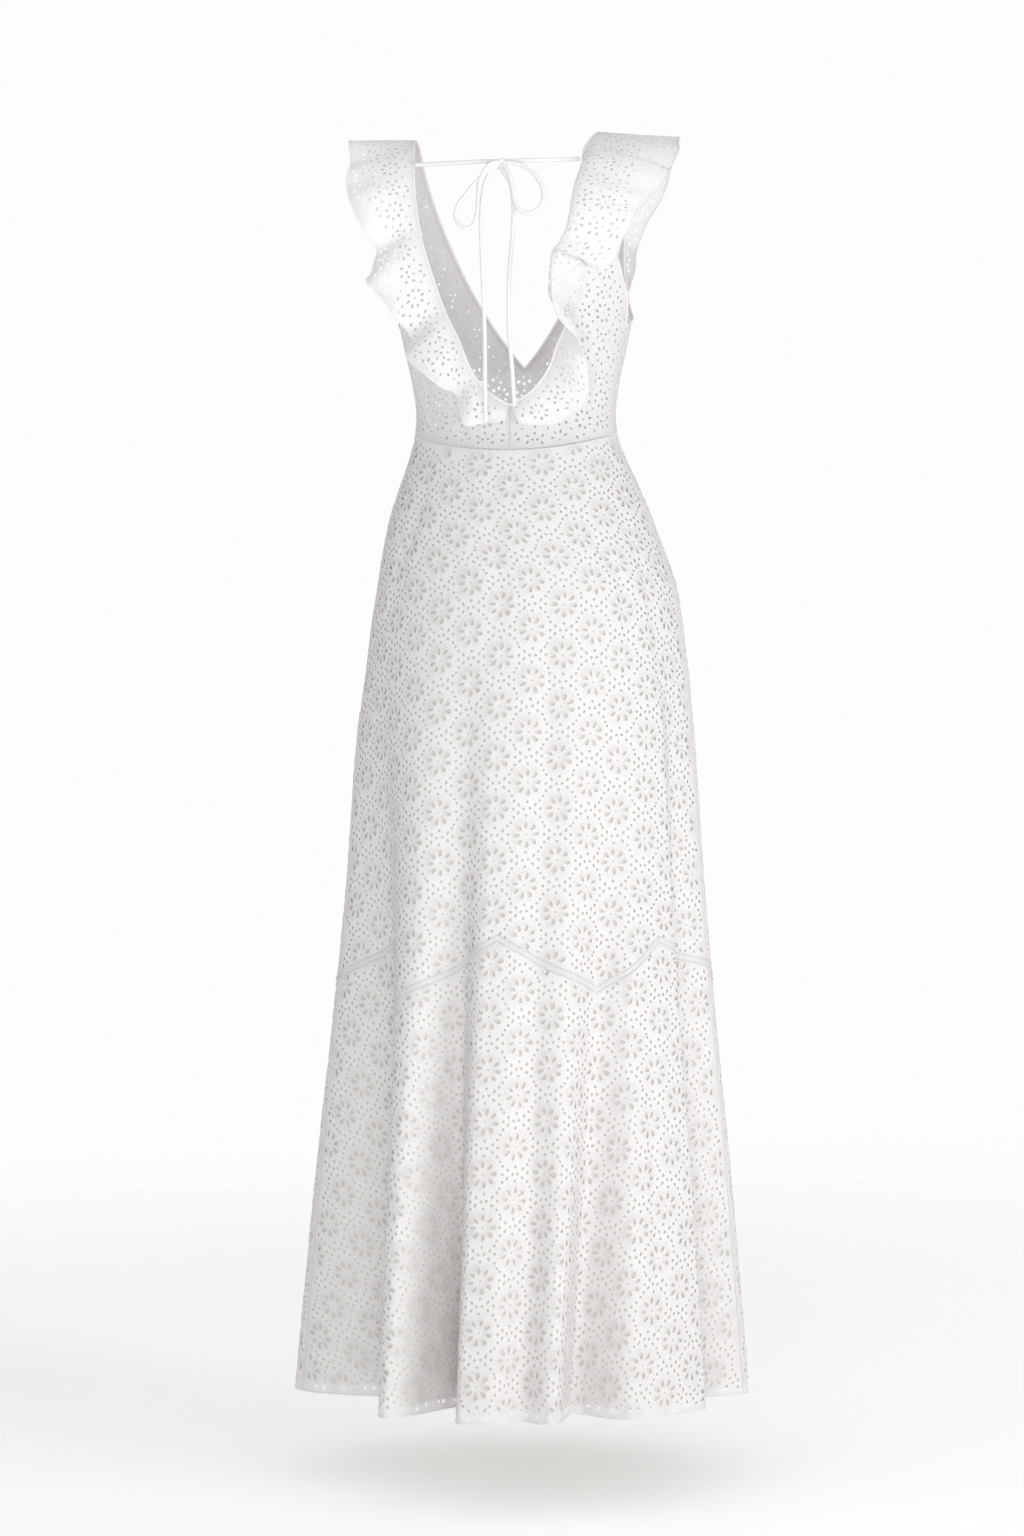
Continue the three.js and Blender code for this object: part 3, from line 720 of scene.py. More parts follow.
@dataclass(frozen=True)
class Wave:
    """An uneven wave along a ruffle: its height, the run of one radian, and how both vary."""

    height: float
    radian: float
    sway: float
    sway_radian: float
    swell_radian: float
    swell_start: float
    growth: int
    steady: float = 0.7
    swell: float = 0.3

    def rise(self, run: np.ndarray, slant: np.ndarray | float, across: np.ndarray) -> np.ndarray:
        """Read how far the wave stands out.

        Args:
            run: Distances along the neckline.
            slant: Turn of the wave, in radians.
            across: Shares of the ruffle's width.

        Returns:
            The height of each point.
        """
        turn = run / self.radian + self.sway * np.sin(run / self.sway_radian) + slant
        uneven = self.steady + self.swell * np.sin(run / self.swell_radian + self.swell_start)
        return self.height * (np.sin(turn) * uneven * across**self.growth)


# Broad flutes that start at the neckline, and a flutter that grows towards the free edge
FLUTES = Wave(4.2, 13.0, 1.2, 47.0, 37.0, 2.0, 1)
FLUTTER = Wave(2.2, 5.3, 1.7, 41.0, 29.0, 1.0, 2)


class RufflePattern:
    """The flat pattern of a ruffle: a strip along its middle line."""

    BULGE = 13.0
    BULGE_FULL = 60.0
    ROOT_LIFT = 1.0
    MEAN_STAND = 19.0
    FLUTE_GAIN = 1.35
    SLANT = 2.2
    SLANT_FULL = 40.0
    WAY_STEP = 2.0
    COLUMNS = 25
    CENTRE_CLEAR = 1.4

    def __init__(self, neckline: Neckline) -> None:
        """Shape the ruffle on a fine grid.

        Args:
            neckline: The neckline that carries it.
        """
        side = neckline.side
        rows = [(row.level, row) for row in RUFFLE_BACK[side]]
        rows += [(-row.level, row) for row in RUFFLE_FRONT]
        out, stand, drop, lean = (
            Track([(way, getattr(row, column)) for way, row in rows])
            for column in ("out", "stand", "drop", "lean")
        )
        self.side = side.value
        self.ways = neckline.stations(self.WAY_STEP)
        point, normal, away = neckline.axes(self.ways)
        root = point + normal * self.ROOT_LIFT
        fluted = (stand(self.ways) - self.MEAN_STAND) * self.FLUTE_GAIN
        edge = root + away * out(self.ways)[:, None] + normal * (self.MEAN_STAND + fluted)[:, None]
        edge[:, 2] -= drop(self.ways)
        bulge = (self.BULGE + fluted / 2) * np.clip(np.abs(self.ways) / self.BULGE_FULL, 0, 1)
        crown = (root + edge) / 2 + normal * bulge[:, None] - away * 2 * lean(self.ways)[:, None]
        across = np.linspace(0, 1, self.COLUMNS)
        t = across[None, :, None]
        grid = root[:, None] * (1 - t) ** 2 + 2 * crown[:, None] * t * (1 - t) + edge[:, None] * t**2
        grid += self._directions(grid) * self._waves(point, across)[..., None]
        grid[..., 0] = self.side * np.maximum(self.side * grid[..., 0], self.CENTRE_CLEAR)
        self.across = across
        self.grid = grid
        self.normals = self._directions(grid)
        self.along = run_lengths(grid[:, len(across) // 2])
        steps = np.linalg.norm(np.diff(grid, axis=1), axis=-1)
        self.reach = np.concatenate([np.zeros((len(grid), 1)), np.cumsum(steps, axis=1)], axis=1)

    def _waves(self, neckline: np.ndarray, across: np.ndarray) -> np.ndarray:
        """Wave the cloth: flutes that slant down from the neckline, and a flutter along the free edge.

        Args:
            neckline: Points along the ruffle's root.
            across: Shares of its width.

        Returns:
            How far each point of the grid stands out.
        """
        run = run_lengths(neckline)[:, None]
        slant = self.SLANT * np.clip(-self.ways / self.SLANT_FULL, -1, 1)[:, None] * across
        return FLUTES.rise(run, slant, across) + FLUTTER.rise(run, 0.0, across)

    def _directions(self, grid: np.ndarray) -> np.ndarray:
        """Find the outward directions on a grid.

        Args:
            grid: Points along the ruffle and across it.

        Returns:
            One direction of length 1 for each point.
        """
        along = np.gradient(grid, axis=0)
        reach = np.gradient(grid, axis=1)
        return unit(np.cross(reach, along) * self.side)

    def flatten(self, places: np.ndarray) -> np.ndarray:
        """Lay places of the ruffle out flat.

        Args:
            places: Rows of way and share of the width.

        Returns:
            Rows of flat x and y.
        """
        along = np.interp(places[:, 0], self.ways, self.along)
        reach = self._reaches(np.interp(along, self.along, np.arange(len(self.along))))
        column = places[:, 1] * (len(self.across) - 1)
        left = np.minimum(column.astype(int), len(self.across) - 2)
        over = column - left
        each = np.arange(len(places))
        out = reach[each, left] * (1 - over) + reach[each, left + 1] * over
        return np.stack([along, -self.side * out], axis=-1)

    def _reaches(self, row: np.ndarray) -> np.ndarray:
        """Give the distances across the ruffle.

        Args:
            row: Fractional rows of the grid.

        Returns:
            The distance of each column from the neckline.
        """
        top = np.minimum(row.astype(int), len(self.along) - 2)
        down = (row - top)[:, None]
        return self.reach[top] * (1 - down) + self.reach[top + 1] * down

    def place(self, flat: np.ndarray) -> tuple[np.ndarray, np.ndarray]:
        """Lay flat points onto the ruffle.

        Args:
            flat: Rows of flat x and y.

        Returns:
            The points on the ruffle, and the outward directions there.
        """
        row = np.interp(flat[:, 0], self.along, np.arange(len(self.along)))
        reach = self._reaches(row)
        wanted = -self.side * flat[:, 1]
        left = np.clip((reach < wanted[:, None]).sum(axis=1) - 1, 0, len(self.across) - 2)
        each = np.arange(len(flat))
        span = np.maximum(reach[each, left + 1] - reach[each, left], TINY)
        over = np.clip((wanted - reach[each, left]) / span, 0, 1)[:, None]
        top = np.minimum(row.astype(int), len(self.along) - 2)
        down = (row - top)[:, None]
        blended = []
        for table in (self.grid, self.normals):
            upper = table[top, left] * (1 - over) + table[top, left + 1] * over
            lower = table[top + 1, left] * (1 - over) + table[top + 1, left + 1] * over
            blended.append(upper * (1 - down) + lower * down)
        return blended[0], unit(blended[1])


@dataclass(frozen=True)
class EyeletRepeat:
    """The eyelet embroidery's repeat: staggered flowers of oval holes with dots and leaves between."""

    column_step: float = 33.0
    row_step: float = 54.0
    petals: int = 8
    petal_ring: float = 10.4
    petal_half: tuple[float, float] = (2.05, 3.4)
    heart_half: float = 1.1
    wobble: float = 0.35
    drift: float = 0.8
    turn: float = 16.0
    stagger_turn: float = 0.2
    petal_spread: tuple[float, float] = (0.9, 1.08)
    sprigs: tuple[tuple[float, float, float, float, float], ...] = (
        (3.1, 27.2, 1.75, 1.75, 0),
        (-3.0, 26.7, 1.75, 1.75, 0),
        (0.3, 34.4, 1.7, 1.7, 0),
        (-0.4, 19.6, 1.7, 1.7, 0),
        (8.8, 31.3, 1.55, 2.4, 25),
        (8.4, 22.6, 1.55, 2.3, -40),
        (-8.5, 31.0, 1.55, 2.3, -35),
        (-8.8, 22.9, 1.55, 2.4, 30),
        (14.2, 27.3, 1.7, 1.7, 0),
        (-14.1, 26.6, 1.7, 1.7, 0),
        (13.6, 35.8, 1.65, 1.65, 0),
        (14.0, 18.3, 1.65, 1.65, 0),
        (-13.8, 35.5, 1.65, 1.65, 0),
        (-13.6, 18.6, 1.65, 1.65, 0),
        (17.0, 13.0, 1.5, 1.5, 0),
        (-16.8, 13.2, 1.5, 1.5, 0),
    )

    def holes(self, low: np.ndarray, high: np.ndarray, seed: int) -> np.ndarray:
        """Spread the repeat over a flat box.

        Args:
            low: Lowest corner of the box.
            high: Highest corner.
            seed: Start of the small sewing irregularities.

        Returns:
            Rows of x, y, half across, half along, and turn in radians.
        """
        rng = np.random.default_rng(seed)
        petal_turns = np.radians(360 / self.petals) * np.arange(self.petals)
        sprigs = np.array(self.sprigs, float)
        sprigs[:, 4] = np.radians(sprigs[:, 4])
        found = []
        columns = range(
            math.floor(low[0] / self.column_step), math.ceil(high[0] / self.column_step) + 1
        )
        rows = range(math.floor(low[1] / self.row_step) - 1, math.ceil(high[1] / self.row_step) + 1)
        for column in columns:
            shift = self.row_step / 2 * (column % 2)
            for row in rows:
                centre = np.array([column * self.column_step, row * self.row_step + shift])
                centre += rng.uniform(-self.drift, self.drift, 2)
                turns = petal_turns + np.radians(rng.normal(0, self.turn))
                turns = turns + self.stagger_turn * (column % 2)
                flower = np.empty((self.petals, 5))
                flower[:, 0] = centre[0] + self.petal_ring * np.sin(turns)
                flower[:, 1] = centre[1] + self.petal_ring * np.cos(turns)
                sizes = rng.uniform(*self.petal_spread, (self.petals, 1))
                flower[:, 2:4] = np.array(self.petal_half) * sizes
                flower[:, 4] = turns
                around = sprigs.copy()
                around[:, :2] += centre + rng.uniform(-self.wobble, self.wobble, (len(sprigs), 2))
                heart = [[*centre, self.heart_half, self.heart_half, 0]]
                found += [flower, around, np.array(heart)]
        return np.concatenate(found)


# Bodice and ruffles are cut where the flowers are small and close to the dots between them.
FINE_REPEAT = EyeletRepeat(
    column_step=27.0,
    row_step=46.0,
    petal_ring=8.6,
    petal_half=(1.5, 2.3),
    sprigs=(
        (2.9, 23.2, 1.6, 1.6, 0),
        (-2.8, 22.7, 1.6, 1.6, 0),
        (0.3, 29.8, 1.5, 1.5, 0),
        (-0.4, 16.2, 1.5, 1.5, 0),
        (8.0, 27.2, 1.4, 2.2, 25),
        (7.8, 18.8, 1.4, 2.1, -40),
        (-7.9, 26.9, 1.4, 2.1, -35),
        (-8.1, 19.1, 1.4, 2.2, 30),
        (13.3, 12.0, 1.4, 1.4, 0),
        (-13.1, 11.6, 1.4, 1.4, 0),
    ),
)


def inside(points: np.ndarray, outline: np.ndarray) -> np.ndarray:
    """Tell which flat points lie inside a closed outline.

    Args:
        points: Rows of x and y.
        outline: The outline's corners in order.

    Returns:
        True for each point inside.
    """
    after = np.roll(outline, -1, axis=0)
    found = np.zeros(len(points), bool)
    for (x0, y0), (x1, y1) in zip(outline, after):
        crosses = (y0 > points[:, 1]) != (y1 > points[:, 1])
        if crosses.any():
            edge = (x1 - x0) * (points[:, 1] - y0) / (y1 - y0 if y1 != y0 else 1) + x0
            found ^= crosses & (points[:, 0] < edge)
    return found


def clearance(points: np.ndarray, outline: np.ndarray) -> np.ndarray:
    """Measure how far flat points lie from a finely spaced outline.

    Args:
        points: Rows of x and y.
        outline: The outline's corners.

    Returns:
        Distance from each point to the nearest corner.
    """
    nearest = np.full(len(points), np.inf)
    for corner in outline:
        nearest = np.minimum(nearest, np.hypot(*(points - corner).T))
    return nearest


@dataclass(frozen=True)
class Rim:
    """A ring of the stitched edge round a hole: its distance from it, its height, its share of thread."""

    offset: float
    height: float
    thread: float


PETAL_RIMS = (Rim(1.05, 0.0, 0.0), Rim(0.5, 0.55, 1.0), Rim(0.0, -0.1, 0.8))
DOT_RIMS = (Rim(0.75, 0.15, 0.5), Rim(0.0, 0.1, 0.9))
PETAL_SIDES = 8
DOT_SIDES = 7
SMALLEST_PETAL = 2.6
PETAL_SWELL = 0.2


@dataclass
class CutCloth:
    """A cut piece of cloth: its object, its flat outline, and what the cut measures."""

    piece: bpy.types.Object
    outline: np.ndarray

    @property
    def flat(self) -> tuple[float, float]:
        """Width and length of the cut, in metres."""
        span = self.outline.max(axis=0) - self.outline.min(axis=0)
        return float(span[0] * MM), float(span[1] * MM)

    @property
    def area(self) -> float:
        """Flat area of the cut, in square metres."""
        x, y = self.outline.T
        return float(abs(np.dot(x, np.roll(y, -1)) - np.dot(y, np.roll(x, -1))) / 2 * MM * MM)


def linear(colour: str) -> tuple[float, float, float, float]:
    """Turn an sRGB hex colour to linear.

    Args:
        colour: Six hex digits after a hash.

    Returns:
        Red, green, blue and an alpha of 1.
    """
    parts = [int(colour[i : i + 2], 16) / 255 for i in (1, 3, 5)]
    curve = [c / 12.92 if c <= 0.04045 else ((c + 0.055) / 1.055) ** 2.4 for c in parts]
    return curve[0], curve[1], curve[2], 1.0


def add_node(
    tree: bpy.types.NodeTree,
    kind: str,
    inputs: dict[str | int, Any] | None = None,
    **settings: Any,
) -> bpy.types.Node:
    """Add a node with its settings, values and links.

    Args:
        tree: The node tree.
        kind: The node's type name.
        inputs: Value or source socket for each input, by name or number.
        settings: The node's own properties.

    Returns:
        The new node.
    """
    node = tree.nodes.new(kind)
    for name, value in settings.items():
        setattr(node, name, value)
    for key, value in (inputs or {}).items():
        if isinstance(value, bpy.types.NodeSocket):
            tree.links.new(value, node.inputs[key])
        else:
            node.inputs[key].default_value = value
    return node


def band_scale(period_mm: float) -> float:
    """Give the Wave Texture scale, of which 2 pi make 20 bands, for bands some millimetres apart."""
    return 2 * math.pi / (20 * period_mm * MM)


@dataclass(frozen=True)
class ClothFinish:
    """A plain woven cotton: a matt white with a soft sheen, a fine grid of threads and uneven slubs."""

    name: str
    colour: str
    shade: str
    thread_colour: str
    thread_mm: float
    weave_depth_mm: float
    translucency: float
    coordinates: str = "UV"
    roughness: float = 0.86
    roughness_spread: float = 0.08
    sheen: float = 0.18
    slub_mm: float = 2.6
    patch_mm: float = 45.0

    def material(self) -> bpy.types.Material:
        """Build the material, or return the one already built.

        Returns:
            The material.
        """
        known = bpy.data.materials.get(self.name)
        if known:
            return known
        material = bpy.data.materials.new(self.name)
        material.use_nodes = True
        tree = material.node_tree
        tree.nodes.clear()
        coord = add_node(tree, "ShaderNodeTexCoord").outputs[self.coordinates]
        scale = band_scale(self.thread_mm)
        warp, weft = (
            add_node(
                tree,
                "ShaderNodeTexWave",
                {"Vector": coord, "Scale": scale, "Distortion": 0.6, "Detail": 1.0, "Detail Scale": 0.4},
                bands_direction=direction,
            ).outputs["Fac"]
            for direction in ("X", "Y")
        )
        grid = add_node(tree, "ShaderNodeMath", {0: warp, 1: weft}, operation="ADD").outputs[0]
        slub = add_node(
            tree,
            "ShaderNodeTexNoise",
            {"Vector": coord, "Scale": 1 / (self.slub_mm * MM), "Detail": 3.0, "Roughness": 0.6},
        ).outputs["Fac"]
        height = add_node(
            tree, "ShaderNodeMath", {0: slub, 1: 1.6, 2: grid}, operation="MULTIPLY_ADD"
        ).outputs[0]
        bump = add_node(
            tree,
            "ShaderNodeBump",
            {"Height": height, "Strength": 0.55, "Distance": self.weave_depth_mm * MM},
        ).outputs["Normal"]
        patches = add_node(
            tree,
            "ShaderNodeTexNoise",
            {"Vector": coord, "Scale": 1 / (self.patch_mm * MM), "Detail": 4.0, "Roughness": 0.65},
        ).outputs["Fac"]
        ground = add_node(
            tree,
            "ShaderNodeMix",
            {"Factor": patches, "A": linear(self.colour), "B": linear(self.shade)},
            data_type="RGBA",
        ).outputs["Result"]
        thread = add_node(tree, "ShaderNodeAttribute", attribute_name="thread").outputs["Fac"]
        colour = add_node(
            tree,
            "ShaderNodeMix",
            {"Factor": thread, "A": ground, "B": linear(self.thread_colour)},
            data_type="RGBA",
        ).outputs["Result"]
        low, high = (self.roughness + way * self.roughness_spread for way in (-1, 1))
        rough = add_node(
            tree, "ShaderNodeMapRange", {"Value": slub, "To Min": low, "To Max": high}
        ).outputs[0]
        surface = add_node(
            tree,
            "ShaderNodeBsdfPrincipled",
            {
                "Base Color": colour,
                "Roughness": rough,
                "Normal": bump,
                "IOR": 1.45,
                "Sheen Weight": self.sheen,
                "Sheen Roughness": 0.45,
                "Specular IOR Level": 0.3,
            },
        ).outputs[0]
        glow = add_node(
            tree, "ShaderNodeBsdfTranslucent", {"Color": colour, "Normal": bump}
        ).outputs[0]
        mixed = add_node(
            tree, "ShaderNodeMixShader", {0: self.translucency, 1: surface, 2: glow}
        ).outputs[0]
        add_node(tree, "ShaderNodeOutputMaterial", {"Surface": mixed})
        return material


# White cotton batiste, embroidered and cut: a clean matt white whose stitched rims are a little brighter.
# Threads are drawn 1.1 mm apart, coarser than real ones, so that the weave shows.
EYELET_COTTON = ClothFinish("eyelet_cotton_batiste", "#F4F2F2", "#EFEDED", "#FDFCFC", 1.1, 0.14, 0.24)
# The same cotton on the bodice, with its close embroidery, painted a greyer white: painted shade, standing
# in for the shade that falls on the bodice under the ruffles.
SHADED_BODICE_COTTON = ClothFinish("bodice_eyelet_cotton_painted_shade", "#EAE8E8", "#E4E2E2", "#F6F4F4", 1.1, 0.14, 0.24)
# Plain cotton lawn behind the eyelets: a warmer, duller white.
LINING_COTTON = ClothFinish("lining_cotton_lawn", "#EBE8E3", "#E4E0DA", "#EBE8E3", 1.1, 0.12, 0.1)
# Bias strip of the same cotton, turned and pressed: smoother, with a finer weave.
BINDING_COTTON = ClothFinish(
    "bias_bound_cotton", "#F5F3F2", "#EEECEA", "#F5F3F2", 0.9, 0.1, 0.05, "Object"
)
# Cotton turned into a narrow round tube: smooth, with a faint weave.
CORD_COTTON = ClothFinish(
    "rouleau_cord_cotton", "#F5F4F3", "#ECEAE8", "#F5F4F3", 1.0, 0.08, 0.02, "Object"
)


def attach(
    piece: bpy.types.Object, finish: ClothFinish, nodes: Sequence[str] = ()
) -> bpy.types.Object:
    """Dress a piece and fix it to the frame.

    Args:
        piece: The piece.
        finish: The piece's finish.
        nodes: The nodes that it stands for.

    Returns:
        The same piece.
    """
    piece.data.materials.clear()
    piece.data.materials.append(finish.material())
    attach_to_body(piece, BODY)
    if nodes:
        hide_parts(*nodes)
    LOG.info("piece %s", piece.name)
    return piece


def link_object(name: str, data: bpy.types.ID) -> bpy.types.Object:
    """Put an object into the scene.

    Args:
        name: Name of the object.
        data: Its mesh, curve, light or camera.

    Returns:
        The new object.
    """
    piece = bpy.data.objects.new(name, data)
    bpy.context.scene.collection.objects.link(piece)
    return piece


def thread_piece(
    name: str, runs: Sequence[np.ndarray], radius_mm: float, sides: int = 1
) -> bpy.types.Object:
    """Lay threads, rolls or cords along lines.

    Args:
        name: Name of the piece.
        runs: Lines of points in millimetres.
        radius_mm: Half the thread's thickness.
        sides: Roundness of the thread.

    Returns:
        One curve object with a spline for each line.
    """
    curve = bpy.data.curves.new(name, "CURVE")
    curve.dimensions = "3D"
    curve.bevel_depth = radius_mm * MM
    curve.bevel_resolution = sides
    curve.use_fill_caps = True
    for run in runs:
        spline = curve.splines.new("POLY")
        spline.points.add(len(run) - 1)
        spline.points.foreach_set("co", np.column_stack([run * MM, np.ones(len(run))]).ravel())
        spline.use_smooth = True
    return link_object(name, curve)


@dataclass
class EyeletTailor:
    """Cuts eyelet cloth to flat outlines and lays it on its pattern."""

    repeat: EyeletRepeat = field(default_factory=EyeletRepeat)
    edge_step: float = 4.5
    seam_margin: float = 2.2
    pieces_cut: int = 0

    def cut(
        self,
        name: str,
        pattern: BodyPattern | RufflePattern,
        edges: Sequence[np.ndarray],
    ) -> CutCloth:
        """Cut a piece with its eyelets.

        Args:
            name: Name of the piece.
            pattern: The flat pattern it is laid on.
            edges: The outline's edges in order, as places of the pattern.

        Returns:
            The cut piece.
        """
        self.pieces_cut += 1
        runs = [respaced(pattern.flatten(edge), self.edge_step)[:-1] for edge in edges]
        outline = np.concatenate(runs)
        holes = self._holes_inside(outline)
        flat, heights, threads, owners, links = self._rings(holes)
        ring = np.arange(len(outline))
        points = np.concatenate([outline, flat])
        constraints = list(zip(ring.tolist(), np.roll(ring, -1).tolist()))
        constraints += [(a + len(outline), b + len(outline)) for a, b in links]
        start = points.mean(axis=0)
        verts, _, faces, origins, _, _ = delaunay_2d_cdt(
            [Vector(p) for p in points - start], constraints, [], 1, 1e-7
        )
        source = np.array([origin[0] if origin else -1 for origin in origins])
        flat = np.array([(v.x, v.y) for v in verts]) + start
        pad = len(outline)
        heights = np.concatenate([np.zeros(pad), heights, [0.0]])[source]
        threads = np.concatenate([np.zeros(pad), threads, [0.0]])[source]
        owners = np.concatenate([np.full(pad, -1), owners, [-1]])[source]
        corners = np.array(faces)
        owned = owners[corners]
        open_hole = (owned[:, 0] >= 0) & (owned[:, 0] == owned[:, 1]) & (owned[:, 0] == owned[:, 2])
        corners = corners[~open_hole]
        surface, normals = pattern.place(flat)
        surface = surface + normals * heights[:, None]
        piece = self._mesh_piece(name, surface, corners, flat, threads)
        return CutCloth(piece, outline)

    def _holes_inside(self, outline: np.ndarray) -> np.ndarray:
        """Pick the holes that lie clear of the outline.

        Args:
            outline: The cut's outline.

        Returns:
            Rows of holes.
        """
        holes = self.repeat.holes(outline.min(axis=0), outline.max(axis=0), self.pieces_cut)
        holes = holes[inside(holes[:, :2], outline)]
        reach = holes[:, 2:4].max(axis=1) + self.seam_margin + self.edge_step / 4
        return holes[clearance(holes[:, :2], outline) > reach]

    def _rings(
        self, holes: np.ndarray
    ) -> tuple[np.ndarray, np.ndarray, np.ndarray, np.ndarray, list[tuple[int, int]]]:
        """Draw the stitched rims round the holes.

        Args:
            holes: Rows of holes.

        Returns:
            Flat points, their heights, their shares of thread, the hole that each inner point
            edges or -1, and the inner edges as pairs of points.
        """
        points, heights, threads, owners, links = [], [], [], [], []
        count = 0
        for number, (x, y, across, along, turn) in enumerate(holes):
            petal = along > SMALLEST_PETAL
            rims = PETAL_RIMS if petal else DOT_RIMS
            sides = PETAL_SIDES if petal else DOT_SIDES
            angles = 2 * np.pi * np.arange(sides) / sides
            swell = 1 + (PETAL_SWELL if petal else 0.0) * np.cos(angles)
            for rim in rims:
                ahead = (along + rim.offset) * np.cos(angles)
                aside = (across + rim.offset) * np.sin(angles) * swell
                over = x + ahead * np.sin(turn) + aside * np.cos(turn)
                up = y + ahead * np.cos(turn) - aside * np.sin(turn)
                points.append(np.stack([over, up], axis=-1))
                heights.append(np.full(sides, rim.height))
                threads.append(np.full(sides, rim.thread))
                inner = rim is rims[-1]
                owners.append(np.full(sides, number if inner else -1))
                if inner:
                    links += [(count + i, count + (i + 1) % sides) for i in range(sides)]
                count += sides
        return (
            np.concatenate(points),
            np.concatenate(heights),
            np.concatenate(threads),
            np.concatenate(owners),
            links,
        )

    def _mesh_piece(
        self,
        name: str,
        surface: np.ndarray,
        corners: np.ndarray,
        flat: np.ndarray,
        threads: np.ndarray,
    ) -> bpy.types.Object:
        """Make the mesh with its flat map and its thread attribute.

        Args:
            name: Name of the piece.
            surface: Points in millimetres.
            corners: Triangles.
            flat: The same points on the flat cloth.
            threads: Share of embroidery thread at each point.

        Returns:
            The new object.
        """
        mesh = bpy.data.meshes.new(name)
        mesh.from_pydata((surface * MM).tolist(), [], corners.tolist())
        mesh.polygons.foreach_set("use_smooth", np.ones(len(corners), bool))
        chart = mesh.uv_layers.new(name="cloth")
        chart.data.foreach_set("uv", (flat[corners.ravel()] * MM).ravel())
        share = mesh.attributes.new("thread", "FLOAT", "POINT")
        share.data.foreach_set("value", threads)
        mesh.update()
        return link_object(name, mesh)


@dataclass
class Skirt:
    """The skirt: upper part, chevron tier and lining, each with a back and a front."""

    form: WornForm
    tailor: EyeletTailor
    cone: float = 840.0
    strand_step: float = 0.5
    level_step: float = 16.0
    seam_half: float = 0.75
    top_level: float = -312.0
    side_rows: int = 80
    lining_drop: float = 3.0
    lining_rows: int = 64
    lining_columns: int = 220
    lining_chart: tuple[float, float] = (0.9, 1.02)
    lining_length: float = 1.04

    def spans(self, face: Face) -> tuple[float, float]:
        """Give the first and last strand of a face."""
        half = SIDE_SEAM if face is Face.BACK else 180 - SIDE_SEAM
        return face.value - half, face.value + half

    def build(self) -> list[CutCloth]:
        """Cut and lay every piece.

        Returns:
            The eyelet pieces.
        """
        pieces = []
        for face in Face:
            first, last = self.spans(face)
            strands = np.arange(first, last + self.strand_step / 2, self.strand_step)
            levels = np.arange(self.top_level, HEM - self.level_step, -self.level_step)
            pattern = BodyPattern(self.form, strands, levels, face.value, face.value, self.cone)
            waist = self.form.waist(strands) - self.seam_half
            chevron = self.form.chevron(strands)
            hem = np.full(len(strands), HEM)
            for part, top, foot in (("upper", waist, chevron), ("lower", chevron, hem)):
                pieces.append(self._piece(f"skirt_{part}_{face.label}", pattern, strands, top, foot))
            self._lining(face, strands)
        return pieces

    def _piece(
        self,
        name: str,
        pattern: BodyPattern,
        strands: np.ndarray,
        top: np.ndarray,
        foot: np.ndarray,
    ) -> CutCloth:
        """Cut one part between its top and its foot.

        Args:
            name: The node it stands for.
            pattern: The face's flat pattern.
            strands: Strands of the face.
            top: Level of the top edge at each strand.
            foot: Level of the foot edge.

        Returns:
            The cut piece.
        """
        down = np.linspace(0, 1, self.side_rows)
        first, last = (
            np.column_stack([np.full(self.side_rows, strands[i]), top[i] * (1 - down) + foot[i] * down])
            for i in (0, -1)
        )
        upper, lower = (np.column_stack([strands, edge]) for edge in (top, foot))
        edges = [upper, last, lower[::-1], first[::-1]]
        cut = self.tailor.cut(f"{name}_cloth", pattern, edges)
        attach(cut.piece, EYELET_COTTON, [name])
        return cut

    def _lining(self, face: Face, strands: np.ndarray) -> None:
        """Hang the plain lining behind a face.

        Args:
            face: Back or front.
            strands: Strands of the face.
        """
        name = f"skirt_lining_{face.label}"
        shell = bmesh.new()
        shell.loops.layers.uv.new("cloth")
        bmesh.ops.create_grid(
            shell, x_segments=self.lining_columns, y_segments=self.lining_rows, size=0.5, calc_uvs=True
        )
        shares = np.array([vert.co.to_tuple() for vert in shell.verts]) + 0.5
        strand = strands[0] + (strands[-1] - strands[0]) * shares[:, 0]
        top = self.form.waist(strand) - self.lining_drop
        level = top + (LINING_HEM - top) * (1 - shares[:, 1])
        points = self.form.point(strand, level, LINING)
        for vert, point in zip(shell.verts, points * MM):
            vert.co = point
        for quad in shell.faces:
            quad.smooth = True
        mesh = bpy.data.meshes.new(f"{name}_cloth")
        shell.to_mesh(mesh)
        shell.free()
        chart = mesh.uv_layers.active
        spread = np.empty(2 * len(chart.data))
        chart.data.foreach_get("uv", spread)
        chart.data.foreach_set("uv", (spread.reshape(-1, 2) * self.lining_chart).ravel())
        piece = link_object(mesh.name, mesh)
        attach(piece, LINING_COTTON, [name])
        ends = (np.full(len(strands), at) for at in (WAIST_SIDE, LINING_HEM))
        widest = max(run_lengths(self.form.point(strands, end, LINING))[-1] for end in ends) * MM


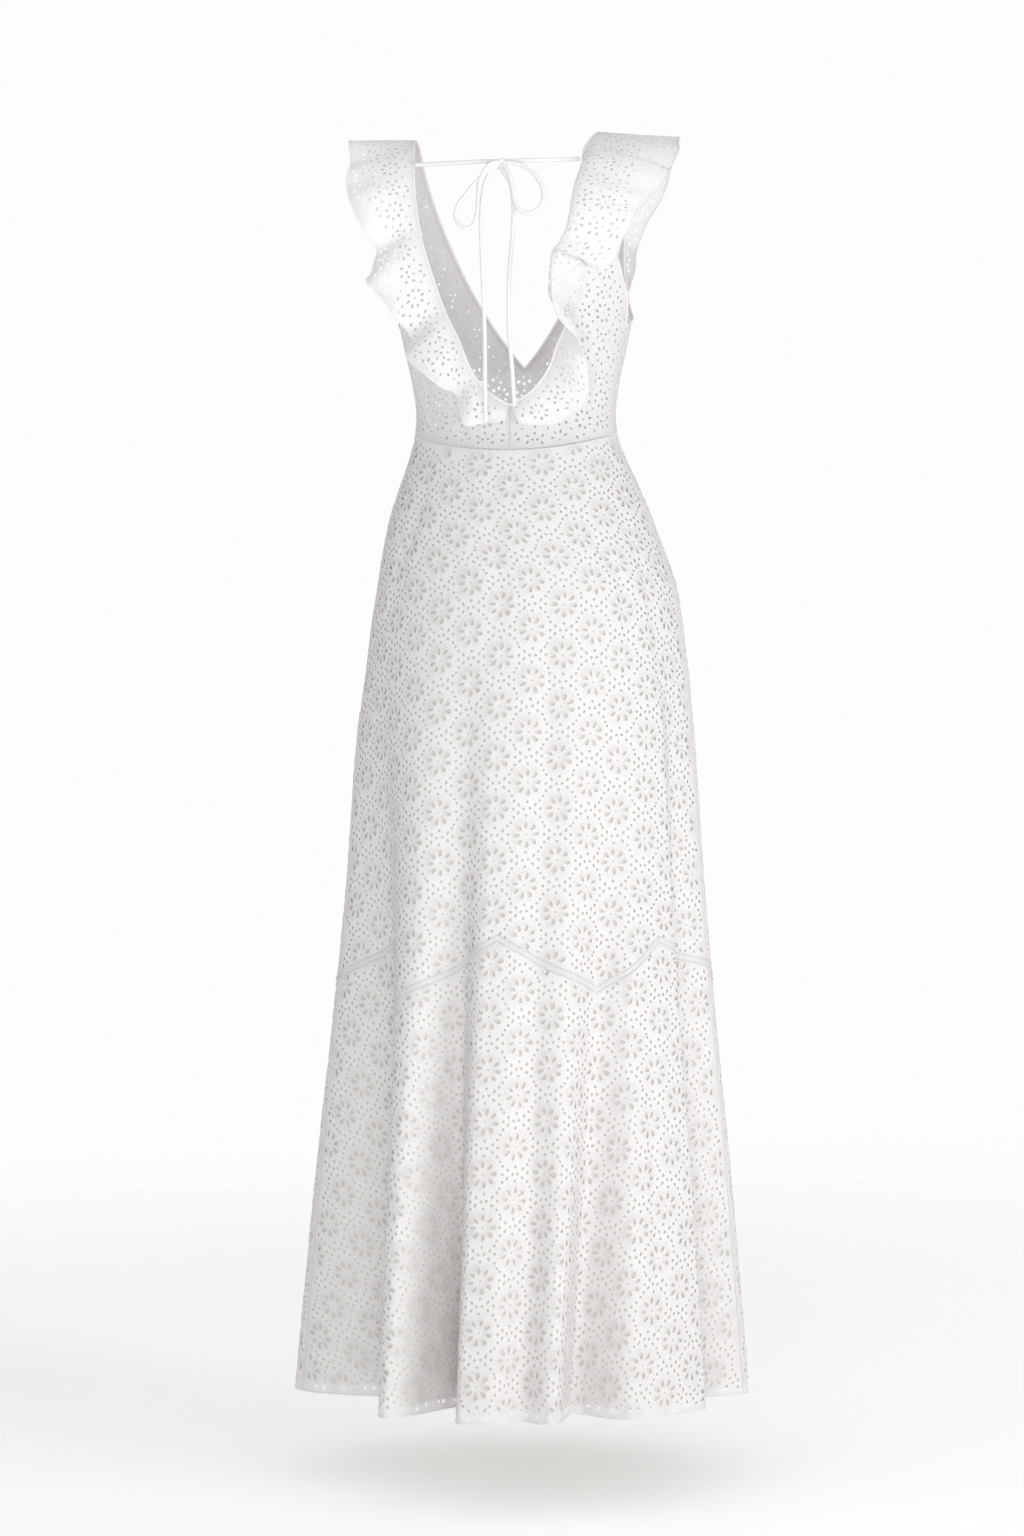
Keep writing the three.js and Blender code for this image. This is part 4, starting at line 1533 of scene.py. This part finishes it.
@dataclass
class Bodice:
    """The bodice: two back panels and one front panel, with their necklines and armholes."""

    form: WornForm
    tailor: EyeletTailor
    necklines: dict[Side, Neckline]
    seam_half: float = 0.75
    strand_step: float = 0.5
    row_step: float = 8.0
    foot_level: float = -356.0
    guide: float = 40.0
    centre: float = 0.15
    shoulder_rows: int = 26
    armhole_rows: int = 260
    neck_rows: int = 120
    waist_rows: int = 90
    straight_rows: int = 40

    def levels(self) -> np.ndarray:
        """Give the levels of the pattern, closest where the cloth turns over the shoulder.

        Returns:
            The levels, falling.
        """
        over = -SHOULDER_ROUND * np.linspace(0, 1, self.shoulder_rows) ** 2
        below = np.arange(-SHOULDER_ROUND - self.row_step, self.foot_level, -self.row_step)
        return np.concatenate([over, below])

    def armhole(self, side: Side, face: Face) -> np.ndarray:
        """Follow an armhole from the shoulder down to the side seam.

        Args:
            side: Side of the dress.
            face: Back or front.

        Returns:
            Rows of strand and level.
        """
        rows = [row for row in (BACK_ROWS if face is Face.BACK else FRONT_ROWS) if row.edge_half]
        pulled = side is Side.RIGHT
        levels = np.array([row.edge_level for row in rows])
        halves = np.array([row.edge_half - (row.pull if pulled else 0) for row in rows])
        strands = self.form.strand_at(halves, levels)
        if face is Face.FRONT:
            strands = 180 - strands
        line = Track([*zip(levels, strands), (ARMHOLE_END, SIDE_SEAM)])
        level = -(np.linspace(0, math.sqrt(-ARMHOLE_END), self.armhole_rows) ** 2)
        return np.column_stack([side.value * line(level), level])

    def neck(self, side: Side, face: Face) -> np.ndarray:
        """Follow the neckline of one side from the V up to the shoulder.

        Args:
            side: Side of the dress.
            face: Back or front.

        Returns:
            Rows of strand and level.
        """
        end = NECK_START if face is Face.BACK else NECK_END
        share = np.linspace(1, 0, self.neck_rows) ** 2
        way = np.sign(end) * np.maximum(np.abs(end) * share, TINY)
        return self.necklines[side].place(way)

    def build(self) -> list[CutCloth]:
        """Cut and lay the panels.

        Returns:
            The panels.
        """
        return [*(self._back(side) for side in Side), self._front()]

    def _back(self, side: Side) -> CutCloth:
        """Cut one back panel.

        Args:
            side: Side of the dress.

        Returns:
            The panel.
        """
        name = f"bodice_back_{side.label}"
        strands = np.arange(-SIDE_SEAM, SIDE_SEAM + self.strand_step / 2, self.strand_step)
        pattern = BodyPattern(self.form, strands, self.levels(), 0, side.value * self.guide)
        neck = self.neck(side, Face.BACK)
        armhole = self.armhole(side, Face.BACK)
        waist = self._waist(side.value * SIDE_SEAM, side.value * self.centre, self.waist_rows)
        edges = [
            neck,
            self._straight(neck[-1], armhole[0]),
            armhole,
            self._straight(armhole[-1], waist[0]),
            waist,
            self._straight(waist[-1], neck[0]),
        ]
        cut = self.tailor.cut(f"{name}_cloth", pattern, edges)
        # The back panel wears the cotton painted a greyer white as painted shade.
        attach(cut.piece, SHADED_BODICE_COTTON, [name])
        return cut

    def _front(self) -> CutCloth:
        """Cut the front panel.

        Returns:
            The panel.
        """
        name = "bodice_front"
        strands = np.arange(SIDE_SEAM, 360 - SIDE_SEAM + self.strand_step / 2, self.strand_step)
        pattern = BodyPattern(self.form, strands, self.levels(), 180, 180 - self.guide)
        neck_l, neck_r = (self.neck(side, Face.FRONT) for side in Side)
        armhole_l, armhole_r = (self.armhole(side, Face.FRONT) for side in Side)
        for line in (neck_l, armhole_l):
            line[:, 0] %= 360
        waist = self._waist(SIDE_SEAM, 360 - SIDE_SEAM, 2 * self.waist_rows)
        edges = [
            neck_r,
            self._straight(neck_r[-1], armhole_r[0]),
            armhole_r,
            self._straight(armhole_r[-1], waist[0]),
            waist,
            self._straight(waist[-1], armhole_l[-1]),
            armhole_l[::-1],
            self._straight(armhole_l[0], neck_l[-1]),
            neck_l[::-1],
            self._straight(neck_l[0], neck_r[0]),
        ]
        cut = self.tailor.cut(f"{name}_cloth", pattern, edges)
        # The front panel wears the cotton painted a greyer white as painted shade.
        attach(cut.piece, SHADED_BODICE_COTTON, [name])
        return cut

    def _waist(self, start: float, end: float, rows: int) -> np.ndarray:
        """Follow the waist seam's upper edge from strand to strand."""
        strands = np.linspace(start, end, rows)
        return np.column_stack([strands, self.form.waist(strands) + self.seam_half])

    def _straight(self, start: np.ndarray, end: np.ndarray) -> np.ndarray:
        """Join two places by an even row of places."""
        share = np.linspace(0, 1, self.straight_rows)[:, None]
        return start * (1 - share) + end * share


@dataclass
class Ruffles:
    """The two neckline ruffles with their rolled edges."""

    tailor: EyeletTailor
    necklines: dict[Side, Neckline]
    roll_radius: float = 0.75
    end_rows: int = 20

    def build(self) -> list[CutCloth]:
        """Cut and lay both ruffles.

        Returns:
            The ruffles.
        """
        return [self._ruffle(side) for side in Side]

    def _ruffle(self, side: Side) -> CutCloth:
        """Cut one ruffle and roll its free edge.

        Args:
            side: Side of the dress.

        Returns:
            The ruffle.
        """
        name = f"ruffle_{side.label}"
        pattern = RufflePattern(self.necklines[side])
        ways = pattern.ways
        share = np.linspace(0, 1, self.end_rows)
        edges = [
            np.column_stack([ways, np.zeros(len(ways))]),
            np.column_stack([np.full(self.end_rows, ways[-1]), share]),
            np.column_stack([ways[::-1], np.ones(len(ways))]),
            np.column_stack([np.full(self.end_rows, ways[0]), share[::-1]]),
        ]
        cut = self.tailor.cut(f"{name}_cloth", pattern, edges)
        attach(cut.piece, EYELET_COTTON, [name])
        roll = thread_piece(f"{name}_rolled_edge", [pattern.grid[:, -1]], self.roll_radius)
        attach(roll, BINDING_COTTON)
        return cut


@dataclass
class Sewing:
    """Seams, stitched lines, rolled hem and bound edges."""

    form: WornForm
    bodice: Bodice
    necklines: dict[Side, Neckline]
    welt_spread: float = 3.3
    welt_radius: float = 0.75
    welt_lift: float = 0.35
    seam_radius: float = 0.5
    seam_lift: float = 0.1
    hem_radius: float = 0.9
    stitch_radius: float = 0.3
    stitch_lift: float = 0.3
    bar_radius: float = 0.5
    bar_half: float = 1.3
    bar_step: float = 2.8
    binding_radius: float = 1.55
    binding_in: float = 0.8
    binding_sink: float = 0.5
    binding_step: float = 3.0
    centre_clear: float = 0.4
    armhole_radius: float = 1.0
    hem_stitch_up: float = 9.0
    stitch_on: float = 2.6
    stitch_off: float = 1.5
    round_rows: int = 961
    bar_rows: int = 1441
    seam_rows: int = 260
    centre_rows: int = 20

    def on_cloth(self, strand: np.ndarray, level: np.ndarray, lift: float) -> np.ndarray:
        """Find points a little above the cloth."""
        normal = self.form.normal(strand, level, OUTER)
        return self.form.point(strand, level, OUTER) + normal * lift

    def build(self) -> None:
        """Lay every seam and stitch."""
        around = np.linspace(-180, 180, self.round_rows)
        chevron = self.form.chevron(around)
        spreads = (-self.welt_spread, self.welt_spread)
        welts = [self.on_cloth(around, chevron + spread, self.welt_lift) for spread in spreads]
        hem = self.form.point(around, np.full(len(around), HEM), OUTER)
        dashes = self._dashes(around, HEM + self.hem_stitch_up)
        for name, runs, radius, sides, finish in (
            ("chevron_welts", welts, self.welt_radius, 1, EYELET_COTTON),
            ("rolled_hem", [hem], self.hem_radius, 1, BINDING_COTTON),
            ("hem_stitches", dashes, self.stitch_radius, 0, CORD_COTTON),
            ("waist_hemstitch", self._bars(), self.bar_radius, 0, CORD_COTTON),
            ("seam_ridges", self._seams(), self.seam_radius, 1, EYELET_COTTON),
        ):
            attach(thread_piece(name, runs, radius, sides), finish)
        for side in Side:
            self._bind(side)

    def _dashes(self, strands: np.ndarray, level: float) -> list[np.ndarray]:
        """Lay a row of running stitches round the skirt.

        Args:
            strands: Strands round the skirt.
            level: Height of the row.

        Returns:
            One short line for each stitch.
        """
        line = self.on_cloth(strands, np.full(len(strands), level), self.stitch_lift)
        lengths = run_lengths(line)
        starts = np.arange(0, lengths[-1] - self.stitch_on, self.stitch_on + self.stitch_off)
        ends = np.stack([starts, starts + self.stitch_on], axis=-1)
        spots = np.stack([np.interp(ends, lengths, column) for column in line.T], axis=-1)
        return list(spots)

    def _bars(self) -> list[np.ndarray]:
        """Lay the ladder of bars that bridges the waist seam.

        Returns:
            One short line for each bar.
        """
        strands = np.linspace(-180, 180, self.bar_rows)
        lengths = run_lengths(self.form.point(strands, self.form.waist(strands), OUTER))
        spots = np.interp(np.arange(0, lengths[-1], self.bar_step), lengths, strands)
        waist = self.form.waist(spots)
        upper = self.on_cloth(spots, waist + self.bar_half, self.stitch_lift)
        lower = self.on_cloth(spots, waist - self.bar_half, self.stitch_lift)
        return list(np.stack([upper, lower], axis=1))

    def _seams(self) -> list[np.ndarray]:
        """Follow the side seams and the centre back seam.

        Returns:
            One line for each seam.
        """
        down = np.linspace(ARMHOLE_END, HEM, self.seam_rows)
        seams = [np.full(self.seam_rows, side.value * SIDE_SEAM) for side in Side]
        lines = [self.on_cloth(seam, down, self.seam_lift) for seam in seams]
        middle = np.linspace(NECK_START, float(self.form.waist(np.array(0.0))), self.centre_rows)
        lines.append(self.on_cloth(np.zeros(self.centre_rows), middle, self.seam_lift))
        return lines

    def _bind(self, side: Side) -> None:
        """Bind the neckline and the armhole of one side.

        Args:
            side: Side of the dress.
        """
        neckline = self.necklines[side]
        ways = neckline.stations(self.binding_step)
        point, normal, away = neckline.axes(ways)
        line = point - away * self.binding_in - normal * self.binding_sink
        line[:, 0] = side.value * np.maximum(side.value * line[:, 0], self.centre_clear)
        name = f"neck_binding_{side.label}"
        strip = thread_piece(f"{name}_strip", [line], self.binding_radius, 2)
        attach(strip, BINDING_COTTON, [name])
        back, front = (self.bodice.armhole(side, face) for face in (Face.BACK, Face.FRONT))
        edge = np.concatenate([back[::-1], front[1:]])
        edging = self.form.point(edge[:, 0], edge[:, 1], OUTER)
        strip = thread_piece(f"armhole_edge_{side.label}", [edging], self.armhole_radius)
        attach(strip, BINDING_COTTON)


Spot = tuple[float, float, float]

# Points along the cords of the bow, in millimetres: ties from strap to knot, loops and tails from the knot
TIES: dict[str, tuple[Spot, ...]] = {
    "tie_left": (
        (-101.5, -57, -35), (-80, -63, -35.5), (-50, -70, -36), (-17.5, -74, -36), (-11, -75, -37),
    ),
    "tie_right": (
        (75.6, -60, -33), (60, -66, -34.5), (35, -71.5, -35.5), (1.5, -74, -36), (-5, -75, -37),
    ),
}
LOOPS: dict[str, tuple[Spot, ...]] = {
    "bow_loop_left": (
        (-11, -78, -40), (-18, -80, -44), (-28, -84, -54), (-41, -89, -69), (-53, -93, -87),
        (-55, -95, -98), (-50, -97, -107), (-42, -98, -111), (-35, -98, -106), (-32, -97, -96),
        (-31, -91, -77), (-29, -86, -57), (-19, -84, -41), (-11, -80, -38),
    ),
    "bow_loop_right": (
        (-5, -79, -38), (2, -81, -39), (14, -83, -42), (28, -86, -52), (37, -89, -66),
        (39, -92, -78), (35, -95, -90), (25, -97, -96), (14, -96, -93), (8, -93, -82),
        (5, -88, -66), (1, -84, -49), (-5, -80, -41),
    ),
}
TAILS: dict[str, tuple[Spot, ...]] = {
    "tail_left": (
        (-11, -76, -41), (-19, -76, -48), (-25, -79, -62), (-28, -85, -85), (-28, -92, -115),
        (-26.5, -97, -150), (-25, -99, -190), (-24, -100, -230), (-24, -102, -271),
        (-23.5, -105, -300), (-23, -107, -318),
    ),
    "tail_right": (
        (-7, -77, -42), (-5, -76, -48.5), (1, -78, -57), (5, -82, -72), (6.5, -87, -95),
        (5.5, -93, -122), (3, -97, -150), (1.6, -98, -180), (1.6, -98, -217), (4.5, -97, -260),
        (7, -99, -301),
    ),
}


@dataclass(frozen=True)
class Bow:
    """The bow at the top of the back V: two ties, a knot, two loops and two hanging tails."""

    radius: float = 2.3
    sides: int = 3
    knot_centre: Spot = (-8, -75, -39)
    knot_half: Spot = (7.0, 6.0, 6.5)
    knot_swell: float = 0.3
    knot_rows: int = 90
    step: float = 3.0
    fineness: int = 60

    def build(self) -> None:
        """Tie the bow."""
        knot = self._knot()
        for name, route in TIES.items():
            self._cord(name, route, "knot", "taut", [knot])
        for name, route in LOOPS.items():
            self._cord(name, route, "object", "hanging", [])
        for name, route in TAILS.items():
            self._cord(name, route, "bare", "hanging", [])

    def _cord(
        self,
        name: str,
        route: Sequence[Spot],
        far_end: str,
        lay: str,
        with_pieces: list[bpy.types.Object],
    ) -> None:
        """Lay one cord along its route.

        Args:
            name: The node it stands for.
            route: Points in millimetres.
            far_end: Not used.
            lay: Not used.
            with_pieces: Not used.
        """
        points = np.array(route, float)
        at = np.sqrt(np.linalg.norm(np.diff(points, axis=0), axis=-1)).cumsum()
        at = np.concatenate([[0.0], at])
        fine = np.linspace(0, at[-1], self.fineness * len(at))
        columns = [curve_through(at, column, np.gradient(column, at), fine) for column in points.T]
        line = respaced(np.stack(columns, axis=-1), self.step)
        piece = thread_piece(f"{name}_cord", [line], self.radius, self.sides)
        attach(piece, CORD_COTTON, [name])

    def _knot(self) -> bpy.types.Object:
        """Wind the knot from one turn of cord through another.

        Returns:
            The knot.
        """
        turn = np.linspace(0, 2 * np.pi, self.knot_rows)
        wound = np.stack(
            [
                (np.sin(turn) + 2 * np.sin(2 * turn)) / 3,
                np.sin(3 * turn),
                (np.cos(turn) - 2 * np.cos(2 * turn)) / 3,
            ],
            axis=-1,
        )
        reach = np.array(self.knot_half) - self.radius
        line = np.array(self.knot_centre) + wound * reach
        piece = thread_piece("bow_knot_cord", [line], self.radius + self.knot_swell, self.sides)
        return attach(piece, CORD_COTTON, ["bow_knot"])


@dataclass(frozen=True)
class Softbox:
    """A soft light: where it stands in metres, the width of its face, its power in watts."""

    name: str
    place: Spot
    size: float
    power: float


SOFTBOXES = (
    Softbox("front", (0.3, -4.0, -1.6), 2.4, 78.0),
    Softbox("key", (3.3, -2.4, -1.1), 2.0, 58.0),
    Softbox("top", (0.2, -0.6, 1.7), 1.2, 3.0),
    Softbox("far", (-1.2, 4.0, -0.5), 2.4, 34.0),
)


@dataclass(frozen=True)
class Studio:
    """The camera, the pale floor and the soft light."""

    distance: float = 3.7
    azimuth: float = 5.0
    eye_level: float = -0.6845
    field_height: float = 1.674
    aside: float = -0.007
    roll: float = -0.41
    aim: float = -0.9
    floor_level: float = -1.455
    floor_radius: float = 6.0
    floor_sides: int = 96
    fade_start: float = 0.7
    fade_end: float = 3.6
    backdrop: str = "#FDFDFC"
    floor_colour: str = "#F4F4F3"
    floor_glow: float = 0.26
    fill_strength: float = 0.6

    def camera(self) -> None:
        """Place the camera at the photograph's angle."""
        data = bpy.data.cameras.new("camera")
        data.sensor_fit = "VERTICAL"
        data.sensor_height = 24
        data.lens = data.sensor_height * self.distance / self.field_height
        piece = link_object("camera", data)
        turn = math.radians(self.azimuth)
        right = Vector((math.cos(turn), math.sin(turn), 0))
        back = Vector((math.sin(turn), -math.cos(turn), 0))
        place = back * self.distance + right * self.aside + Vector((0, 0, self.eye_level))
        rotation = (
            Matrix.Rotation(turn, 3, "Z")
            @ Matrix.Rotation(math.radians(90), 3, "X")
            @ Matrix.Rotation(math.radians(self.roll), 3, "Z")
        )
        piece.matrix_world = Matrix.Translation(place) @ rotation.to_4x4()
        bpy.context.scene.camera = piece

    def floor(self) -> None:
        """Lay the pale floor, which fades into the backdrop."""
        disc = bmesh.new()
        bmesh.ops.create_circle(disc, cap_ends=True, segments=self.floor_sides, radius=self.floor_radius)
        bmesh.ops.translate(disc, verts=disc.verts, vec=(0, 0, self.floor_level))
        mesh = bpy.data.meshes.new("floor")
        disc.to_mesh(mesh)
        disc.free()
        piece = link_object("floor", mesh)
        material = bpy.data.materials.new("backlit_studio_floor")
        material.use_nodes = True
        tree = material.node_tree
        tree.nodes.clear()
        coord = add_node(tree, "ShaderNodeTexCoord").outputs["Object"]
        flat = add_node(
            tree, "ShaderNodeVectorMath", {0: coord, 1: (1, 1, 0)}, operation="MULTIPLY"
        ).outputs[0]
        away = add_node(tree, "ShaderNodeVectorMath", {0: flat}, operation="LENGTH").outputs["Value"]
        fade = add_node(
            tree,
            "ShaderNodeMapRange",
            {"Value": away, "From Min": self.fade_start, "From Max": self.fade_end},
            interpolation_type="SMOOTHSTEP",
        ).outputs[0]
        paint = add_node(
            tree, "ShaderNodeBsdfDiffuse", {"Color": linear(self.floor_colour), "Roughness": 1.0}
        ).outputs[0]
        glow = add_node(
            tree, "ShaderNodeEmission", {"Color": linear(self.floor_colour), "Strength": self.floor_glow}
        ).outputs[0]
        lit = add_node(tree, "ShaderNodeAddShader", {0: paint, 1: glow}).outputs[0]
        clear = add_node(tree, "ShaderNodeBsdfTransparent").outputs[0]
        mixed = add_node(tree, "ShaderNodeMixShader", {0: fade, 1: lit, 2: clear}).outputs[0]
        add_node(tree, "ShaderNodeOutputMaterial", {"Surface": mixed})
        mesh.materials.append(material)

    def light(self) -> None:
        """Light the studio with its softboxes and with fill all round, in front of a plain backdrop."""
        world = bpy.data.worlds.new("studio")
        world.use_nodes = True
        tree = world.node_tree
        tree.nodes.clear()
        seen = add_node(tree, "ShaderNodeLightPath").outputs["Is Camera Ray"]
        fill = add_node(
            tree, "ShaderNodeBackground", {"Color": linear("#FFFFFF"), "Strength": self.fill_strength}
        ).outputs[0]
        wall = add_node(
            tree, "ShaderNodeBackground", {"Color": linear(self.backdrop), "Strength": 1.0}
        ).outputs[0]
        mixed = add_node(tree, "ShaderNodeMixShader", {0: seen, 1: fill, 2: wall}).outputs[0]
        add_node(tree, "ShaderNodeOutputWorld", {"Surface": mixed})
        bpy.context.scene.world = world
        bpy.context.scene.view_settings.view_transform = "Standard"
        for softbox in SOFTBOXES:
            self._hang(softbox)

    def _hang(self, softbox: Softbox) -> None:
        """Set up one soft light and aim it at the dress.

        Args:
            softbox: The light.
        """
        data = bpy.data.lights.new(softbox.name, "AREA")
        data.shape = "DISK"
        data.size = softbox.size
        data.energy = softbox.power
        piece = link_object(softbox.name, data)
        towards = Vector((0, 0, self.aim)) - Vector(softbox.place)
        turn = towards.to_track_quat("-Z", "Y").to_matrix().to_4x4()
        piece.matrix_world = Matrix.Translation(softbox.place) @ turn


def main() -> None:
    """Build the dress in order."""
    logging.basicConfig(level=logging.INFO, format="%(message)s")
    studio = Studio()
    studio.camera()
    Bow().build()
    form = WornForm()
    necklines = {side: Neckline(form, side) for side in Side}
    fine_tailor = EyeletTailor(FINE_REPEAT)
    bodice = Bodice(form, fine_tailor, necklines)
    for cut in bodice.build():
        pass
    for cut in Skirt(form, EyeletTailor()).build():
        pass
    Ruffles(fine_tailor, necklines).build()
    Sewing(form, bodice, necklines).build()
    studio.floor()
    studio.light()


if __name__ == "__main__":
    main()
